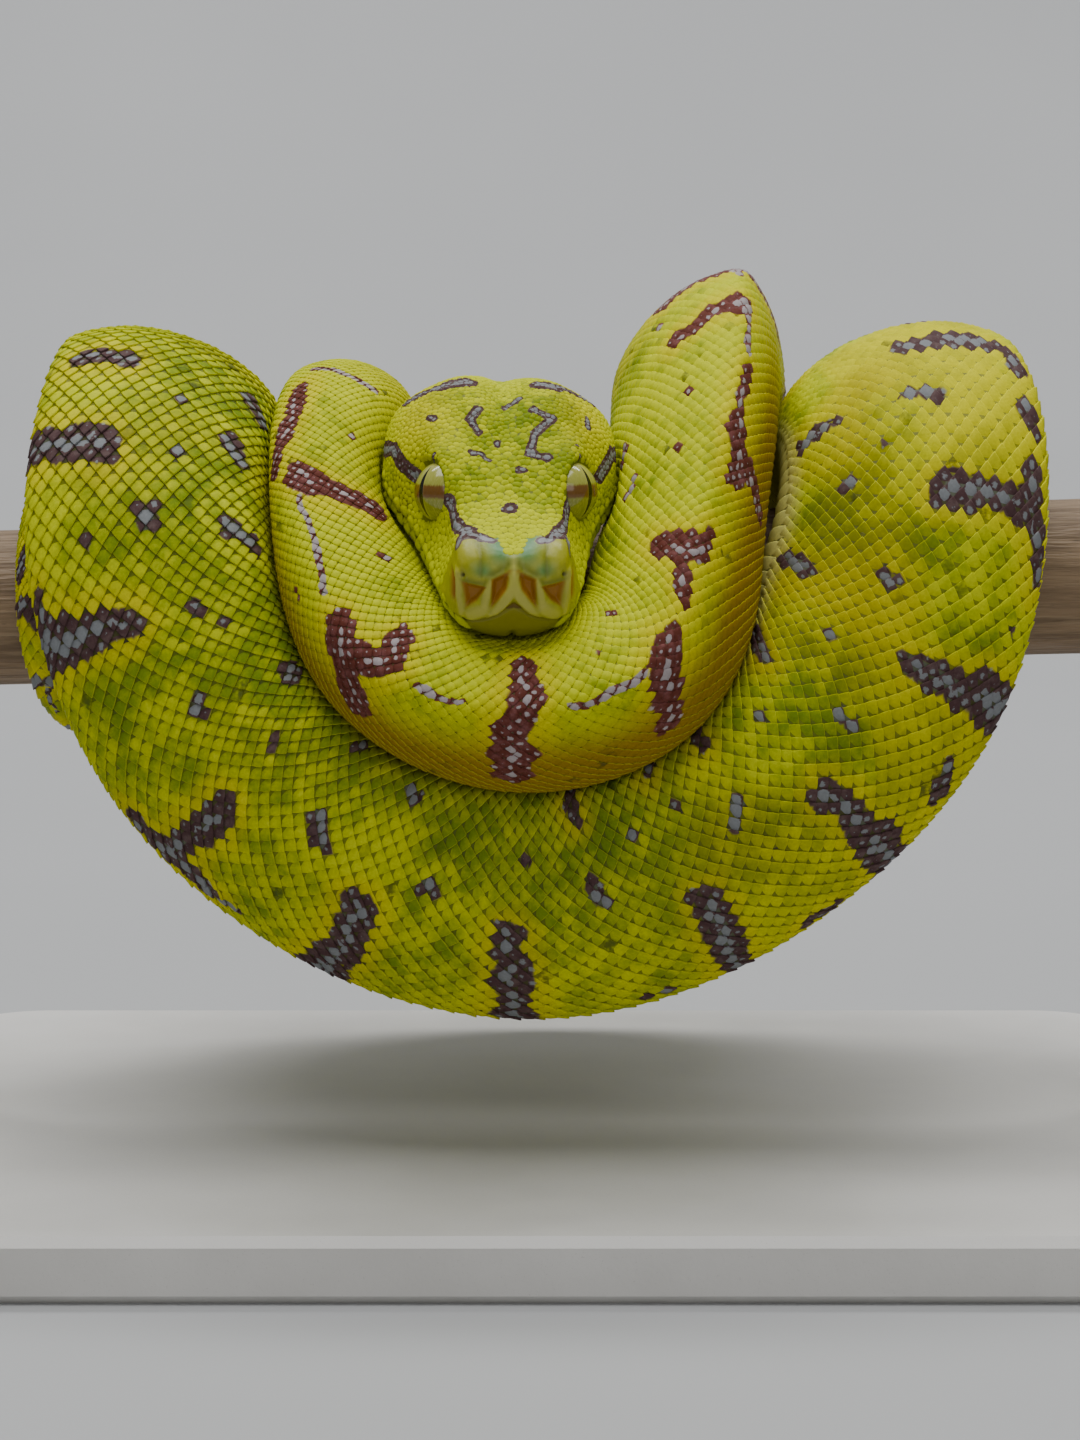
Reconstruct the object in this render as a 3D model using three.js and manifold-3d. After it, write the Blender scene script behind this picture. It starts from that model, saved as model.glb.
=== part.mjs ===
// A young green tree python at rest, coiled over a wooden perch with its head in the middle of the coils,
// as a life-size display model on a plain stand. Millimetres, +Z up. The snake faces -Y, the perch runs
// along X, and the origin is the middle of the stand's underside.
import * as THREE from "three";
import { mergeVertices } from "three/addons/utils/BufferGeometryUtils.js";
import Module from "manifold-3d";

const wasm = await Module();
wasm.setup();

// ---- Driving dimensions -------------------------------------------------------------------------------
const BASE = { width: 156, depth: 104, height: 7, corner: 12, bevel: 1 };
const PERCH = { radius: 9, halfLength: 76, height: 68, tilt: THREE.MathUtils.degToRad(1.7) };
const ROD = { radius: 2.5, offset: 69.5, seat: 4, clearance: 0.3 };
const EYE = { s: 16.9, side: 6.3, up: 3.3, radius: 3.5, socket: 0.3 };
const SIDES = 20; // of a body section
const HEAD_SIDES = 22;
const RING_STEP = 5.5; // along the body
const HEAD_STEP = 1.8; // along the head
const CUT = 0.3; // the width of a thin cut between two lengths of the body
const CONTACT_GAP = 0.6; // left where a coil presses on another coil or on the perch
const HEAD_GAP = 0.8; // left where a coil presses on the head
const HEAD_END = 37; // where the head meets the neck, along the body's line from the snout

// The body's line, from the snout to the tip of the tail, about the middle of the perch:
// x along the perch, y away from the front, z up, and the roll in degrees of the spine from
// straight away from the perch towards the outside of the coil.
const LINE = [
  // head, from the snout
  [-2.7, -38.0, 1.0, 6],
  [-3.4, -28.0, 7.4, 6],
  [-4.4, -16.0, 14.4, 5],
  [-4.9, -4.5, 17.8, 2],
  // neck, over the perch and back round to the left
  [-5.2, 7.5, 17.0, 0],
  [-5.7, 17.3, 11.5, 5],
  [-8.2, 21.5, 8.2, 12],
  [-14.2, 23.5, 6.7, 20],
  [-20.0, 21.2, 8.6, 22],
  [-22.4, 16.3, 12.4, 27],
  [-22.2, 6.5, 18.6, 36],
  // inner coil, in front
  [-22.2, -6.0, 17.7, 50],
  [-21.6, -18.0, 8.2, 34],
  [-16.6, -26.4, -3.6, 2],
  [-2.5, -30.5, -9.2, -20],
  [11.0, -28.0, -5.0, -12],
  [15.4, -20.5, 6.5, 8],
  [17.8, -8.0, 19.8, 20],
  [18.8, 4.5, 24.6, 22],
  // inner coil, behind
  [19.8, 16.0, 18.6, 36],
  [18.6, 23.2, 4.5, 44],
  [11.5, 26.5, -11.5, 38],
  [-9.0, 27.0, -21.0, 30],
  [-33.0, 25.0, -10.0, 45],
  [-43.0, 16.0, 9.5, 60],
  // outer coil, in front
  [-42.5, 0.0, 19.0, 50],
  [-41.8, -16.0, 8.0, 65],
  [-33.7, -20.0, -13.0, 60],
  [-17.0, -20.5, -26.6, 40],
  [1.0, -20.5, -30.2, 32],
  [22.2, -20.5, -21.6, 45],
  [37.6, -18.0, -3.8, 65],
  [42.0, -10.0, 14.4, 60],
  [41.2, 5.5, 19.3, 50],
  // outer coil, behind
  [38.5, 22.5, 5.5, 55],
  [31.0, 33.0, -16.5, 50],
  [10.0, 38.0, -32.0, 35],
  [-18.0, 37.0, -34.0, 35],
  [-40.0, 31.0, -25.0, 45],
  // tail, once round the perch
  [-49.8, 20.0, -8.0, 40],
  [-52.2, 11.5, 9.0, 20],
  [-53.0, -2.0, 13.3, 10],
  [-54.4, -12.8, 3.0, 10],
  [-53.4, -8.0, -10.8, 10],
  [-51.0, 4.5, -12.2, 10],
  [-49.2, 11.8, -3.0, 10],
];

// The head's section: distance from the snout, half width, height above the line and below it, and the
// squareness of its upper and lower halves.
const HEAD = [
  [0, 0, 0, 0, 2.2, 2.1],
  [2, 6.2, 4.6, 4.8, 2.7, 2.2],
  [4, 6.8, 5.4, 5.6, 2.8, 2.3],
  [8, 7.4, 5.5, 5.9, 2.8, 2.5],
  [12, 8.2, 5.8, 6.1, 2.8, 2.7],
  [16, 9.4, 6.8, 6.3, 2.8, 2.8],
  [20, 11.2, 7.9, 6.6, 2.9, 2.8],
  [24, 12.5, 8.9, 6.9, 3.0, 2.7],
  [28, 12.7, 9.2, 7.0, 3.0, 2.6],
  [32, 11.4, 8.4, 7.0, 2.7, 2.4],
  [36, 8.8, 7.0, 6.6, 2.3, 2.2],
  [40, 6.8, 6.2, 6.3, 2.0, 2.0],
];
// The trunk's section: distance from the snout, half width, height above the line and below it.
const TRUNK = [
  [40, 6.8, 6.2, 6.3],
  [60, 6.3, 6.2, 6.4],
  [90, 6.8, 7.4, 7.6],
  [120, 8.7, 8.8, 8.8],
  [150, 9.4, 10.0, 9.6],
  [173, 9.7, 10.6, 10.2],
  [197, 9.0, 11.4, 11.0],
  [220, 9.4, 12.4, 12.0],
  [300, 10.2, 14.0, 13.4],
  [380, 10.8, 14.4, 15.4],
  [480, 11.0, 14.5, 16.4],
  [560, 10.8, 14.4, 15.4],
  [620, 9.3, 12.0, 11.5],
];
// The tail's section, by distance from its tip.
const TAIL = [
  [125, 6.7, 7.8, 7.8],
  [90, 5.5, 6.0, 6.0],
  [60, 4.6, 4.8, 4.8],
  [35, 3.8, 3.9, 3.9],
  [14, 2.4, 2.4, 2.4],
  [4, 1.2, 1.2, 1.2],
  [0, 0.5, 0.5, 0.5],
];
// The lengths that the body is divided into, by the distance at which each ends.
const LENGTHS = [
  ["neck_front", 56],
  ["neck_bend", 96],
  ["trunk_01", 132],
  ["trunk_02", 165],
  ["trunk_03", 204],
  ["trunk_04", 240],
  ["trunk_05", 275],
  ["trunk_06", 313],
  ["trunk_07", 352],
  ["trunk_08", 394],
  ["trunk_09", 435],
  ["trunk_10", 475],
  ["trunk_11", 514],
  ["trunk_12", 552],
  ["trunk_13", 592],
  ["trunk_14", 632],
  ["trunk_15", 672],
  ["tail_base", 712],
  ["tail_middle", 745],
  ["tail_tip", Infinity],
];

const COLOUR = { skin: 0xb5bd12, jaw: 0xc9cf4a, eye: 0xc9cc6a, wood: 0xa8875f, stand: 0xdcdcd8, rod: 0x9a9a98 };

// ---- Curves -------------------------------------------------------------------------------------------
const { clamp, degToRad, lerp } = THREE.MathUtils;

// A natural cubic spline through rows of numbers at rising parameters.
function cubicSpline(at, rows) {
  const n = at.length;
  const width = rows[0].length;
  const bend = rows.map(() => new Array(width).fill(0));
  for (let k = 0; k < width; k++) {
    const diagonal = new Array(n).fill(1);
    const right = new Array(n).fill(0);
    for (let i = 1; i < n - 1; i++) {
      const before = at[i] - at[i - 1];
      const after = at[i + 1] - at[i];
      const lower = i > 1 ? before / diagonal[i - 1] : 0;
      diagonal[i] = 2 * (before + after) - lower * before;
      const slopes = (rows[i + 1][k] - rows[i][k]) / after - (rows[i][k] - rows[i - 1][k]) / before;
      right[i] = 6 * slopes - lower * right[i - 1];
    }
    for (let i = n - 2; i > 0; i--) bend[i][k] = (right[i] - (at[i + 1] - at[i]) * bend[i + 1][k]) / diagonal[i];
  }
  return (t) => {
    const i = intervalOf(at, t);
    const h = at[i + 1] - at[i];
    const a = (at[i + 1] - t) / h;
    const b = (t - at[i]) / h;
    return rows[i].map(
      (y, k) =>
        a * y + b * rows[i + 1][k] + (((a ** 3 - a) * bend[i][k] + (b ** 3 - b) * bend[i + 1][k]) * h * h) / 6,
    );
  };
}

// A smooth curve through rows of numbers that never overshoots them.
function steadySpline(at, rows) {
  const n = at.length;
  const slope = rows.map((row, i) =>
    row.map((y, k) => {
      const before = i > 0 ? (y - rows[i - 1][k]) / (at[i] - at[i - 1]) : null;
      const after = i < n - 1 ? (rows[i + 1][k] - y) / (at[i + 1] - at[i]) : null;
      if (before === null) return after;
      if (after === null) return before;
      return before * after > 0 ? (2 * before * after) / (before + after) : 0;
    }),
  );
  return (t) => {
    const i = intervalOf(at, t);
    const h = at[i + 1] - at[i];
    const u = clamp((t - at[i]) / h, 0, 1);
    const rise = u * u * (3 - 2 * u);
    return rows[i].map(
      (y, k) =>
        lerp(y, rows[i + 1][k], rise) +
        h * (u * (1 - u) ** 2 * slope[i][k] - u * u * (1 - u) * slope[i + 1][k]),
    );
  };
}

function intervalOf(at, t) {
  let i = 0;
  while (i < at.length - 2 && t > at[i + 1]) i++;
  return i;
}

// ---- The body's line ----------------------------------------------------------------------------------
const FINE = 0.5; // spacing of the body's line
const line = bodyLine();
const LENGTH = line.length;

function bodyLine() {
  const at = [0];
  for (let i = 1; i < LINE.length; i++) {
    at.push(at[i - 1] + Math.hypot(...[0, 1, 2].map((k) => LINE[i][k] - LINE[i - 1][k])));
  }
  const curve = cubicSpline(at, LINE);
  const count = 4000;
  const samples = Array.from({ length: count + 1 }, (_, i) => curve((at.at(-1) * i) / count));
  const run = [0];
  for (let i = 1; i <= count; i++) {
    run.push(run[i - 1] + Math.hypot(...[0, 1, 2].map((k) => samples[i][k] - samples[i - 1][k])));
  }
  const length = run.at(-1);
  const rows = [];
  let j = 0;
  for (let s = 0; s <= length; s += FINE) {
    while (j < count - 1 && run[j + 1] < s) j++;
    const u = (s - run[j]) / (run[j + 1] - run[j]);
    rows.push(samples[j].map((y, k) => lerp(y, samples[j + 1][k], u)));
  }
  return { rows, length };
}

// The body's place at a distance s: its point, and unit vectors along it, towards its spine and to its side.
function frameAt(s) {
  const last = line.rows.length - 1;
  const i = clamp(s / FINE, 0, last);
  const j = Math.min(Math.floor(i), last - 1);
  const row = line.rows[j].map((y, k) => lerp(y, line.rows[j + 1][k], i - j));
  const before = line.rows[Math.max(j - 1, 0)];
  const after = line.rows[Math.min(j + 2, last)];
  const point = new THREE.Vector3(row[0], row[1], row[2]);
  const along = new THREE.Vector3(...[0, 1, 2].map((k) => after[k] - before[k])).normalize();
  const away = new THREE.Vector3(0, row[1], row[2]).normalize();
  away.addScaledVector(along, -away.dot(along)).normalize();
  const outward = new THREE.Vector3().crossVectors(along, away);
  const roll = degToRad(row[3]);
  const spine = away.multiplyScalar(Math.cos(roll)).addScaledVector(outward, Math.sin(roll));
  const side = new THREE.Vector3().crossVectors(along, spine);
  return { point, along, spine, side };
}

// ---- The body's sections ------------------------------------------------------------------------------
const headProfile = steadySpline(
  HEAD.map((row) => Math.sqrt(row[0])),
  HEAD.map((row) => row.slice(1)),
);
const trunkRows = [...TRUNK, ...TAIL.map(([fromTip, ...sizes]) => [LENGTH - fromTip, ...sizes])];
const trunkProfile = steadySpline(
  trunkRows.map((row) => row[0]),
  trunkRows.map((row) => row.slice(1)),
);
const HEAD_PROFILE_END = HEAD.at(-1)[0];

function ramp(s, from, to) {
  return clamp((s - from) / (to - from), 0, 1);
}

function profileAt(s) {
  const tailward = 1 - ramp(s, LENGTH - 120, LENGTH);
  const egg = 0.15 * bump(s - 13, 7) + 0.2 * ramp(s, 40, 150) * tailward; // widening towards the belly
  const ridge = 0.8 * ramp(s, 45, 160) * tailward; // height of the spine's ridge
  if (s < HEAD_PROFILE_END) {
    const [half, up, down, squareUp, squareDown] = headProfile(Math.sqrt(s));
    return { half, up, down, squareUp, squareDown, egg, ridge };
  }
  const [half, up, down] = trunkProfile(s);
  return { half, up, down, squareUp: 2, squareDown: 2, egg, ridge };
}

function bump(x, width) {
  return Math.exp(-((x / width) ** 2));
}

// Swellings of the head, in mm, by distance from the snout and angle round from the crown: the two lobes of
// jaw muscle with a groove between, the cheek, the brow over each eye, the ridge from brow to nostril, the
// swollen nostril, the hollow before the eye, and the fullness of the lips.
function headSwell(s, angle) {
  const a = Math.abs(angle);
  return (
    1.15 * bump(s - 27, 6) * bump(a - 0.42, 0.34) -
    0.6 * bump(s - 28, 7) * bump(a, 0.14) +
    0.25 * bump(s - 26, 5) * bump(a - 1.5, 0.5) +
    1.7 * bump(s - 17, 3.8) * bump(a - 0.76, 0.24) +
    0.4 * bump(s - 9, 4.5) * bump(a - 0.85, 0.22) +
    0.5 * bump(s - 4.5, 2.4) * bump(a - 0.75, 0.28) -
    0.8 * bump(s - 11, 3.2) * bump(a - 1.3, 0.28) +
    0.5 * bump(s - 8, 7) * bump(a - 1.85, 0.25)
  );
}

// A point of the section, sideways and towards the spine, at an angle from the spine.
function sectionPoint(s, profile, angle) {
  const c = Math.cos(angle);
  const n = Math.sin(angle);
  const power = 2 / (c > 0 ? profile.squareUp : profile.squareDown);
  let side = profile.half * Math.sign(n) * Math.abs(n) ** power * (1 - profile.egg * c);
  let spine = (c > 0 ? profile.up : profile.down) * Math.sign(c) * Math.abs(c) ** power;
  const signed = angle > Math.PI ? angle - 2 * Math.PI : angle;
  spine += profile.ridge * bump(signed, 0.3);
  if (s < HEAD_PROFILE_END) {
    const reach = Math.hypot(side, spine) || 1;
    const grow = 1 + (headSwell(s, Math.atan2(side, spine)) * ramp(s, 0, 3)) / reach;
    side *= grow;
    spine *= grow;
  }
  return [side, spine];
}

// ---- Rings, and the way they give where they press on each other or on the perch -----------------------
const perchAlong = new THREE.Vector3(Math.cos(PERCH.tilt), 0, Math.sin(PERCH.tilt));

function ringAt(s, sides) {
  const frame = frameAt(s);
  const profile = profileAt(s);
  const offsets = Array.from({ length: sides }, (_, k) => {
    const [side, spine] = sectionPoint(s, profile, (2 * Math.PI * k) / sides);
    return new THREE.Vector3().addScaledVector(frame.side, side).addScaledVector(frame.spine, spine);
  });
  const girth = Math.max(profile.half, (profile.up + profile.down) / 2);
  return { s, frame, profile, offsets, girth };
}

// How far inside a ring's outline a point is: under 1 is inside. Infinity where the ring isn't beside it.
function depthInRing(point, ring, reach) {
  const from = point.clone().sub(ring.frame.point);
  if (Math.abs(from.dot(ring.frame.along)) > reach) return Infinity;
  const spine = from.dot(ring.frame.spine);
  const side = from.dot(ring.frame.side);
  const { half, up, down, squareUp, squareDown, egg } = ring.profile;
  const tall = Math.max(spine > 0 ? up : down, 0.1);
  const wide = Math.max(half * (1 - egg * clamp(spine / tall, -1, 1)), 0.5);
  const square = spine > 0 ? squareUp : squareDown;
  const depth = (Math.abs(side / wide) ** square + Math.abs(spine / tall) ** square) ** (1 / square);
  if (ring.s > HEAD_PROFILE_END) return depth;
  const swell = Math.max(0, headSwell(ring.s, Math.atan2(side, spine)));
  return (depth * Math.hypot(side, spine)) / (Math.hypot(side, spine) + swell);
}

// The share of its free size that each point of a ring keeps.
function freeShares(ring, others) {
  if (ring.s < HEAD_END) return ring.offsets.map(() => 1);
  const beside = others.filter(
    (other) => Math.abs(other.s - ring.s) > 1.15 * (other.girth + ring.girth) + 2,
  );
  return ring.offsets.map((offset) => {
    const clashes = (share) => {
      const point = ring.frame.point.clone().addScaledVector(offset, share);
      const fromPerch = point.clone().addScaledVector(perchAlong, -point.dot(perchAlong));
      if (fromPerch.length() < PERCH.radius + CONTACT_GAP) return true;
      return beside.some((other) => {
        const depth = depthInRing(point, other, RING_STEP * 0.8);
        const rigid = other.s < HEAD_END;
        const gap = (rigid ? HEAD_GAP : CONTACT_GAP) / (other.profile.half + 0.1);
        return depth < (rigid ? 1 : share) + gap;
      });
    };
    if (!clashes(1)) return 1;
    let inside = 0.3;
    let outside = 1;
    for (let i = 0; i < 12; i++) {
      const middle = (inside + outside) / 2;
      if (clashes(middle)) outside = middle;
      else inside = middle;
    }
    return inside;
  });
}

// Eases the dents in the body: their walls get no steeper than SLOPE, and their edges are rounded.
function easeDents(rings) {
  const SLOPE = 0.045; // share per millimetre
  const raw = rings.map((ring) => ring.shares.slice());
  const at = (i, k) => rings[clamp(i, 0, rings.length - 1)].shares[(k + SIDES) % SIDES];
  for (let pass = 0; pass < 8; pass++) {
    const next = rings.map((ring, i) =>
      ring.shares.map((share, k) => {
        const along = (SLOPE * Math.abs(rings[Math.min(i + 1, rings.length - 1)].s - rings[Math.max(i - 1, 0)].s)) / 2;
        const around = (SLOPE * 2 * Math.PI * ring.girth) / SIDES;
        return Math.min(share, at(i - 1, k) + along, at(i + 1, k) + along, at(i, k - 1) + around, at(i, k + 1) + around);
      }),
    );
    rings.forEach((ring, i) => (ring.shares = next[i]));
  }
  const soft = rings.map((ring, i) =>
    ring.shares.map((share, k) => (2 * share + at(i - 1, k) + at(i + 1, k) + at(i, k - 1) + at(i, k + 1)) / 6),
  );
  rings.forEach((ring, i) => (ring.shares = soft[i].map((share, k) => Math.min(share, raw[i][k]))));
}

function placePoints(ring) {
  ring.points = ring.offsets.map((offset, k) => ring.frame.point.clone().addScaledVector(offset, ring.shares[k]));
}

// ---- Solids -------------------------------------------------------------------------------------------
// A closed tube through rings of equal count, with a flat fan at each end.
function tubeGeometry(rings) {
  const count = rings[0].points.length;
  const positions = [];
  for (const ring of rings) for (const p of ring.points) positions.push(p.x, p.y, p.z);
  const index = [];
  for (let i = 0; i < rings.length - 1; i++) {
    for (let k = 0; k < count; k++) {
      const a = i * count + k;
      const b = i * count + ((k + 1) % count);
      index.push(a, b, a + count, b, b + count, a + count);
    }
  }
  const cap = (ringNumber, flip) => {
    const middle = new THREE.Vector3();
    for (const p of rings[ringNumber].points) middle.add(p);
    middle.divideScalar(count);
    const centre = positions.length / 3;
    positions.push(middle.x, middle.y, middle.z);
    for (let k = 0; k < count; k++) {
      const a = ringNumber * count + k;
      const b = ringNumber * count + ((k + 1) % count);
      index.push(centre, flip ? b : a, flip ? a : b);
    }
  };
  cap(0, true);
  cap(rings.length - 1, false);
  const geometry = new THREE.BufferGeometry();
  geometry.setAttribute("position", new THREE.Float32BufferAttribute(positions, 3));
  geometry.setIndex(index);
  return geometry;
}

function toSolid(geometry) {
  const bare = geometry.clone();
  bare.deleteAttribute("normal");
  bare.deleteAttribute("uv");
  const merged = mergeVertices(bare, 1e-4);
  return new wasm.Manifold(
    new wasm.Mesh({
      numProp: 3,
      vertProperties: new Float32Array(merged.attributes.position.array),
      triVerts: new Uint32Array(merged.index.array),
    }),
  );
}

function toGeometry(solid) {
  const mesh = solid.getMesh();
  const geometry = new THREE.BufferGeometry();
  geometry.setAttribute("position", new THREE.BufferAttribute(mesh.vertProperties, 3));
  geometry.setIndex(new THREE.BufferAttribute(mesh.triVerts, 1));
  return geometry;
}

function material(colour, roughness = 0.5, metalness = 0) {
  return new THREE.MeshStandardMaterial({ color: colour, roughness, metalness });
}

const model = new THREE.Group();
const snake = new THREE.Group(); // about the middle of the perch
snake.position.z = PERCH.height;
model.add(snake);

function addMesh(group, name, geometry, look) {
  const mesh = new THREE.Mesh(geometry, look);
  mesh.name = name;
  group.add(mesh);
  return mesh;
}

// ---- Head ---------------------------------------------------------------------------------------------
function headPoint(s, side, up) {
  const frame = frameAt(s);
  return frame.point.addScaledVector(frame.side, side).addScaledVector(frame.spine, up);
}

// The mouth: a thin sheet across the head, from in front of the snout to the corner of the jaws.
const MOUTH = { stations: [-3, 0, 1, 2, 3, 4.5, 7, 11, 16, 21, 27], halfWidth: 18, corner: 27 };

// Its height over the body's line: highest at the notch for the tongue, lowest under the eye.
function mouthLevel(s) {
  return -2.1 + 3 * bump(s, 2.1) - 0.4 * bump(s - 10, 5) + 1.1 * ramp(s, 12, MOUTH.corner);
}

function mouthCutter() {
  const start = frameAt(0);
  return MOUTH.stations.map((s) => {
    const level = mouthLevel(Math.max(s, 0));
    const corner = (side, up) => headPoint(Math.max(s, 0), side, up).addScaledVector(start.along, Math.min(s, 0));
    const w = MOUTH.halfWidth;
    return {
      points: [
        corner(w, level + CUT / 2),
        corner(w, level - CUT / 2),
        corner(-w, level - CUT / 2),
        corner(-w, level + CUT / 2),
      ],
    };
  });
}

// The cut that frees the lower jaw at its back: a slanted sheet from the corner of the jaws down and back.
function jawBackCutter() {
  const level = mouthLevel(MOUTH.corner);
  const w = MOUTH.halfWidth;
  const edge = (s, up) => [
    headPoint(s - CUT / 2, -w, up),
    headPoint(s - CUT / 2, w, up),
    headPoint(s + CUT / 2, w, up),
    headPoint(s + CUT / 2, -w, up),
  ];
  return [{ points: edge(MOUTH.corner + 5, -14) }, { points: edge(MOUTH.corner, level + CUT / 2) }];
}

function headSolids() {
  const rings = [];
  const tip = 0.12;
  for (let s = tip; s < HEAD_END - CUT; s += s < 3 ? HEAD_STEP / 3 : HEAD_STEP) rings.push(ringAt(s, HEAD_SIDES));
  rings.push(ringAt(HEAD_END - CUT / 2, HEAD_SIDES));
  for (const ring of rings) ring.points = ring.offsets.map((o) => ring.frame.point.clone().add(o));
  let head = toSolid(tubeGeometry(rings));
  const eyes = [1, -1].map((sign) => {
    const centre = headPoint(EYE.s, sign * EYE.side, EYE.up);
    const socket = new THREE.SphereGeometry(EYE.radius + EYE.socket, 14, 10);
    socket.translate(centre.x, centre.y, centre.z);
    head = head.subtract(toSolid(socket));
    return centre;
  });
  const parts = head.subtract(toSolid(tubeGeometry(mouthCutter()))).subtract(toSolid(tubeGeometry(jawBackCutter())));
  const pieces = parts.decompose().sort((a, b) => b.volume() - a.volume());
  return { skull: pieces[0], jaw: pieces[1], eyes };
}

const { skull, jaw, eyes } = headSolids();
addMesh(snake, "head", toGeometry(skull), material(COLOUR.skin, 0.4));
addMesh(snake, "lower_jaw", toGeometry(jaw), material(COLOUR.jaw, 0.4));
eyes.forEach((centre, i) => {
  // The animal's own left is on the viewer's right.
  const name = centre.x > LINE[1][0] ? "eye_left" : "eye_right";
  const eye = addMesh(snake, name, new THREE.SphereGeometry(EYE.radius, 14, 10), material(COLOUR.eye, 0.1));
  eye.position.copy(centre);
});

// ---- Neck, trunk and tail -----------------------------------------------------------------------------
function bodyRings() {
  const spans = [];
  let start = HEAD_END;
  for (const [name, end] of LENGTHS) {
    const stop = Math.min(end, LENGTH);
    const first = start + CUT / 2;
    const last = end === Infinity ? LENGTH - 0.05 : stop - CUT / 2;
    const step = name === "tail_tip" ? RING_STEP * 0.8 : RING_STEP;
    const count = Math.max(2, Math.round((last - first) / step));
    const rings = Array.from({ length: count + 1 }, (_, i) => ringAt(lerp(first, last, i / count), SIDES));
    spans.push({ name, rings });
    start = stop;
  }
  return spans;
}

const spans = bodyRings();
const headRings = [];
for (let s = 1; s < HEAD_END; s += RING_STEP / 2) headRings.push(ringAt(s, SIDES));
const softRings = spans.flatMap((span) => span.rings);
for (const ring of softRings) ring.shares = freeShares(ring, [...headRings, ...softRings]);
easeDents(softRings);
softRings.forEach(placePoints);
for (const span of spans) addMesh(snake, span.name, tubeGeometry(span.rings), material(COLOUR.skin, 0.5));

// ---- Perch and stand ----------------------------------------------------------------------------------
// A peeled branch: round, with a slight waist and swell along its length, and one rounded edge at each end.
function perchGeometry() {
  const half = PERCH.halfLength;
  const edge = 1.2;
  const profile = [new THREE.Vector2(0, -half)];
  const stations = 8;
  for (let i = 0; i <= stations; i++) {
    const x = lerp(-half, half, i / stations);
    const radius = PERCH.radius - 0.12 + 0.12 * Math.sin(x * 0.11);
    if (i === 0) profile.push(new THREE.Vector2(radius - edge, x));
    profile.push(new THREE.Vector2(radius, i === 0 ? x + edge : i === stations ? x - edge : x));
    if (i === stations) profile.push(new THREE.Vector2(radius - edge, x));
  }
  profile.push(new THREE.Vector2(0, half));
  const geometry = new THREE.LatheGeometry(profile, 20);
  geometry.rotateZ(-Math.PI / 2);
  geometry.rotateY(-PERCH.tilt);
  return geometry;
}

function cylinder(radius, bottom, top, x) {
  const geometry = new THREE.CylinderGeometry(radius, radius, top - bottom, 14);
  geometry.rotateX(Math.PI / 2);
  geometry.translate(x, 0, (bottom + top) / 2);
  return geometry;
}

function rodTop(x) {
  return PERCH.height + x * Math.tan(PERCH.tilt) - PERCH.radius + ROD.seat;
}

let perch = toSolid(perchGeometry().translate(0, 0, PERCH.height));
for (const [name, x] of [
  ["stand_rod_left", -ROD.offset],
  ["stand_rod_right", ROD.offset],
]) {
  const top = rodTop(x);
  const hole = cylinder(ROD.radius + ROD.clearance, top - 3 * ROD.seat, top + ROD.clearance, x);
  perch = perch.subtract(toSolid(hole));
  addMesh(model, name, cylinder(ROD.radius, BASE.height, top, x), material(COLOUR.rod, 0.35, 0.9));
}
addMesh(model, "perch", toGeometry(perch), material(COLOUR.wood, 0.7));

function baseGeometry() {
  const { width, depth, height, corner, bevel } = BASE;
  const x = width / 2 - bevel;
  const y = depth / 2 - bevel;
  const r = corner - bevel;
  const outline = new THREE.Shape();
  outline.absarc(x - r, -y + r, r, -Math.PI / 2, 0);
  outline.absarc(x - r, y - r, r, 0, Math.PI / 2);
  outline.absarc(-x + r, y - r, r, Math.PI / 2, Math.PI);
  outline.absarc(-x + r, -y + r, r, Math.PI, 1.5 * Math.PI);
  const geometry = new THREE.ExtrudeGeometry(outline, {
    depth: height - 2 * bevel,
    bevelThickness: bevel,
    bevelSize: bevel,
    bevelSegments: 1,
    curveSegments: 5,
  });
  return geometry.translate(0, 0, bevel);
}
addMesh(model, "stand_base", baseGeometry(), material(COLOUR.stand, 0.6));

export default model;
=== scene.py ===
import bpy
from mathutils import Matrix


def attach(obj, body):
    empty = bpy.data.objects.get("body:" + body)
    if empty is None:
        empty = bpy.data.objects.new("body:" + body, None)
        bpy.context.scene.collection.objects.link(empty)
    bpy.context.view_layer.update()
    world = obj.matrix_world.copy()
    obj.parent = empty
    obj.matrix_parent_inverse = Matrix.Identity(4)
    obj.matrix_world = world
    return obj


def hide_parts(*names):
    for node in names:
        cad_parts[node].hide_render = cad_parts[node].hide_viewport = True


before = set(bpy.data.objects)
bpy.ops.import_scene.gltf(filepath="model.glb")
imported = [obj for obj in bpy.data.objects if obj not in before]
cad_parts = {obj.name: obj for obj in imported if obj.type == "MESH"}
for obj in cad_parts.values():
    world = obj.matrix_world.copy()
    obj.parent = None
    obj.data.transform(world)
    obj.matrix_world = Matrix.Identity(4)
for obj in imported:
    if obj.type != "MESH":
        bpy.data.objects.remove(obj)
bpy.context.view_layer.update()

import math
import bmesh
import bpy
import numpy as np
from mathutils import Matrix, Vector
from mathutils.bvhtree import BVHTree

MM = 0.001
PERCH_HEIGHT = 68.0     # of the perch's middle above the floor, in millimetres
# ---- Driving dimensions, in millimetres about the middle of the perch -----------------------------------

PERCH_RADIUS = 9.0
PERCH_TILT = math.radians(1.7)
CONTACT_GAP = 0.12      # left where a coil presses on another coil or on the perch
SCALE_DEPTH = 0.25      # how far the skin lies below the tops of the scales
HEAD_END = 37.0         # where the head meets the neck
HEAD_PROFILE_END = 40.0
LINE_STEP = 0.5         # spacing of the body's line
EYE = {"s": 16.9, "side": 6.3, "up": 3.3, "radius": 3.5}

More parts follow.
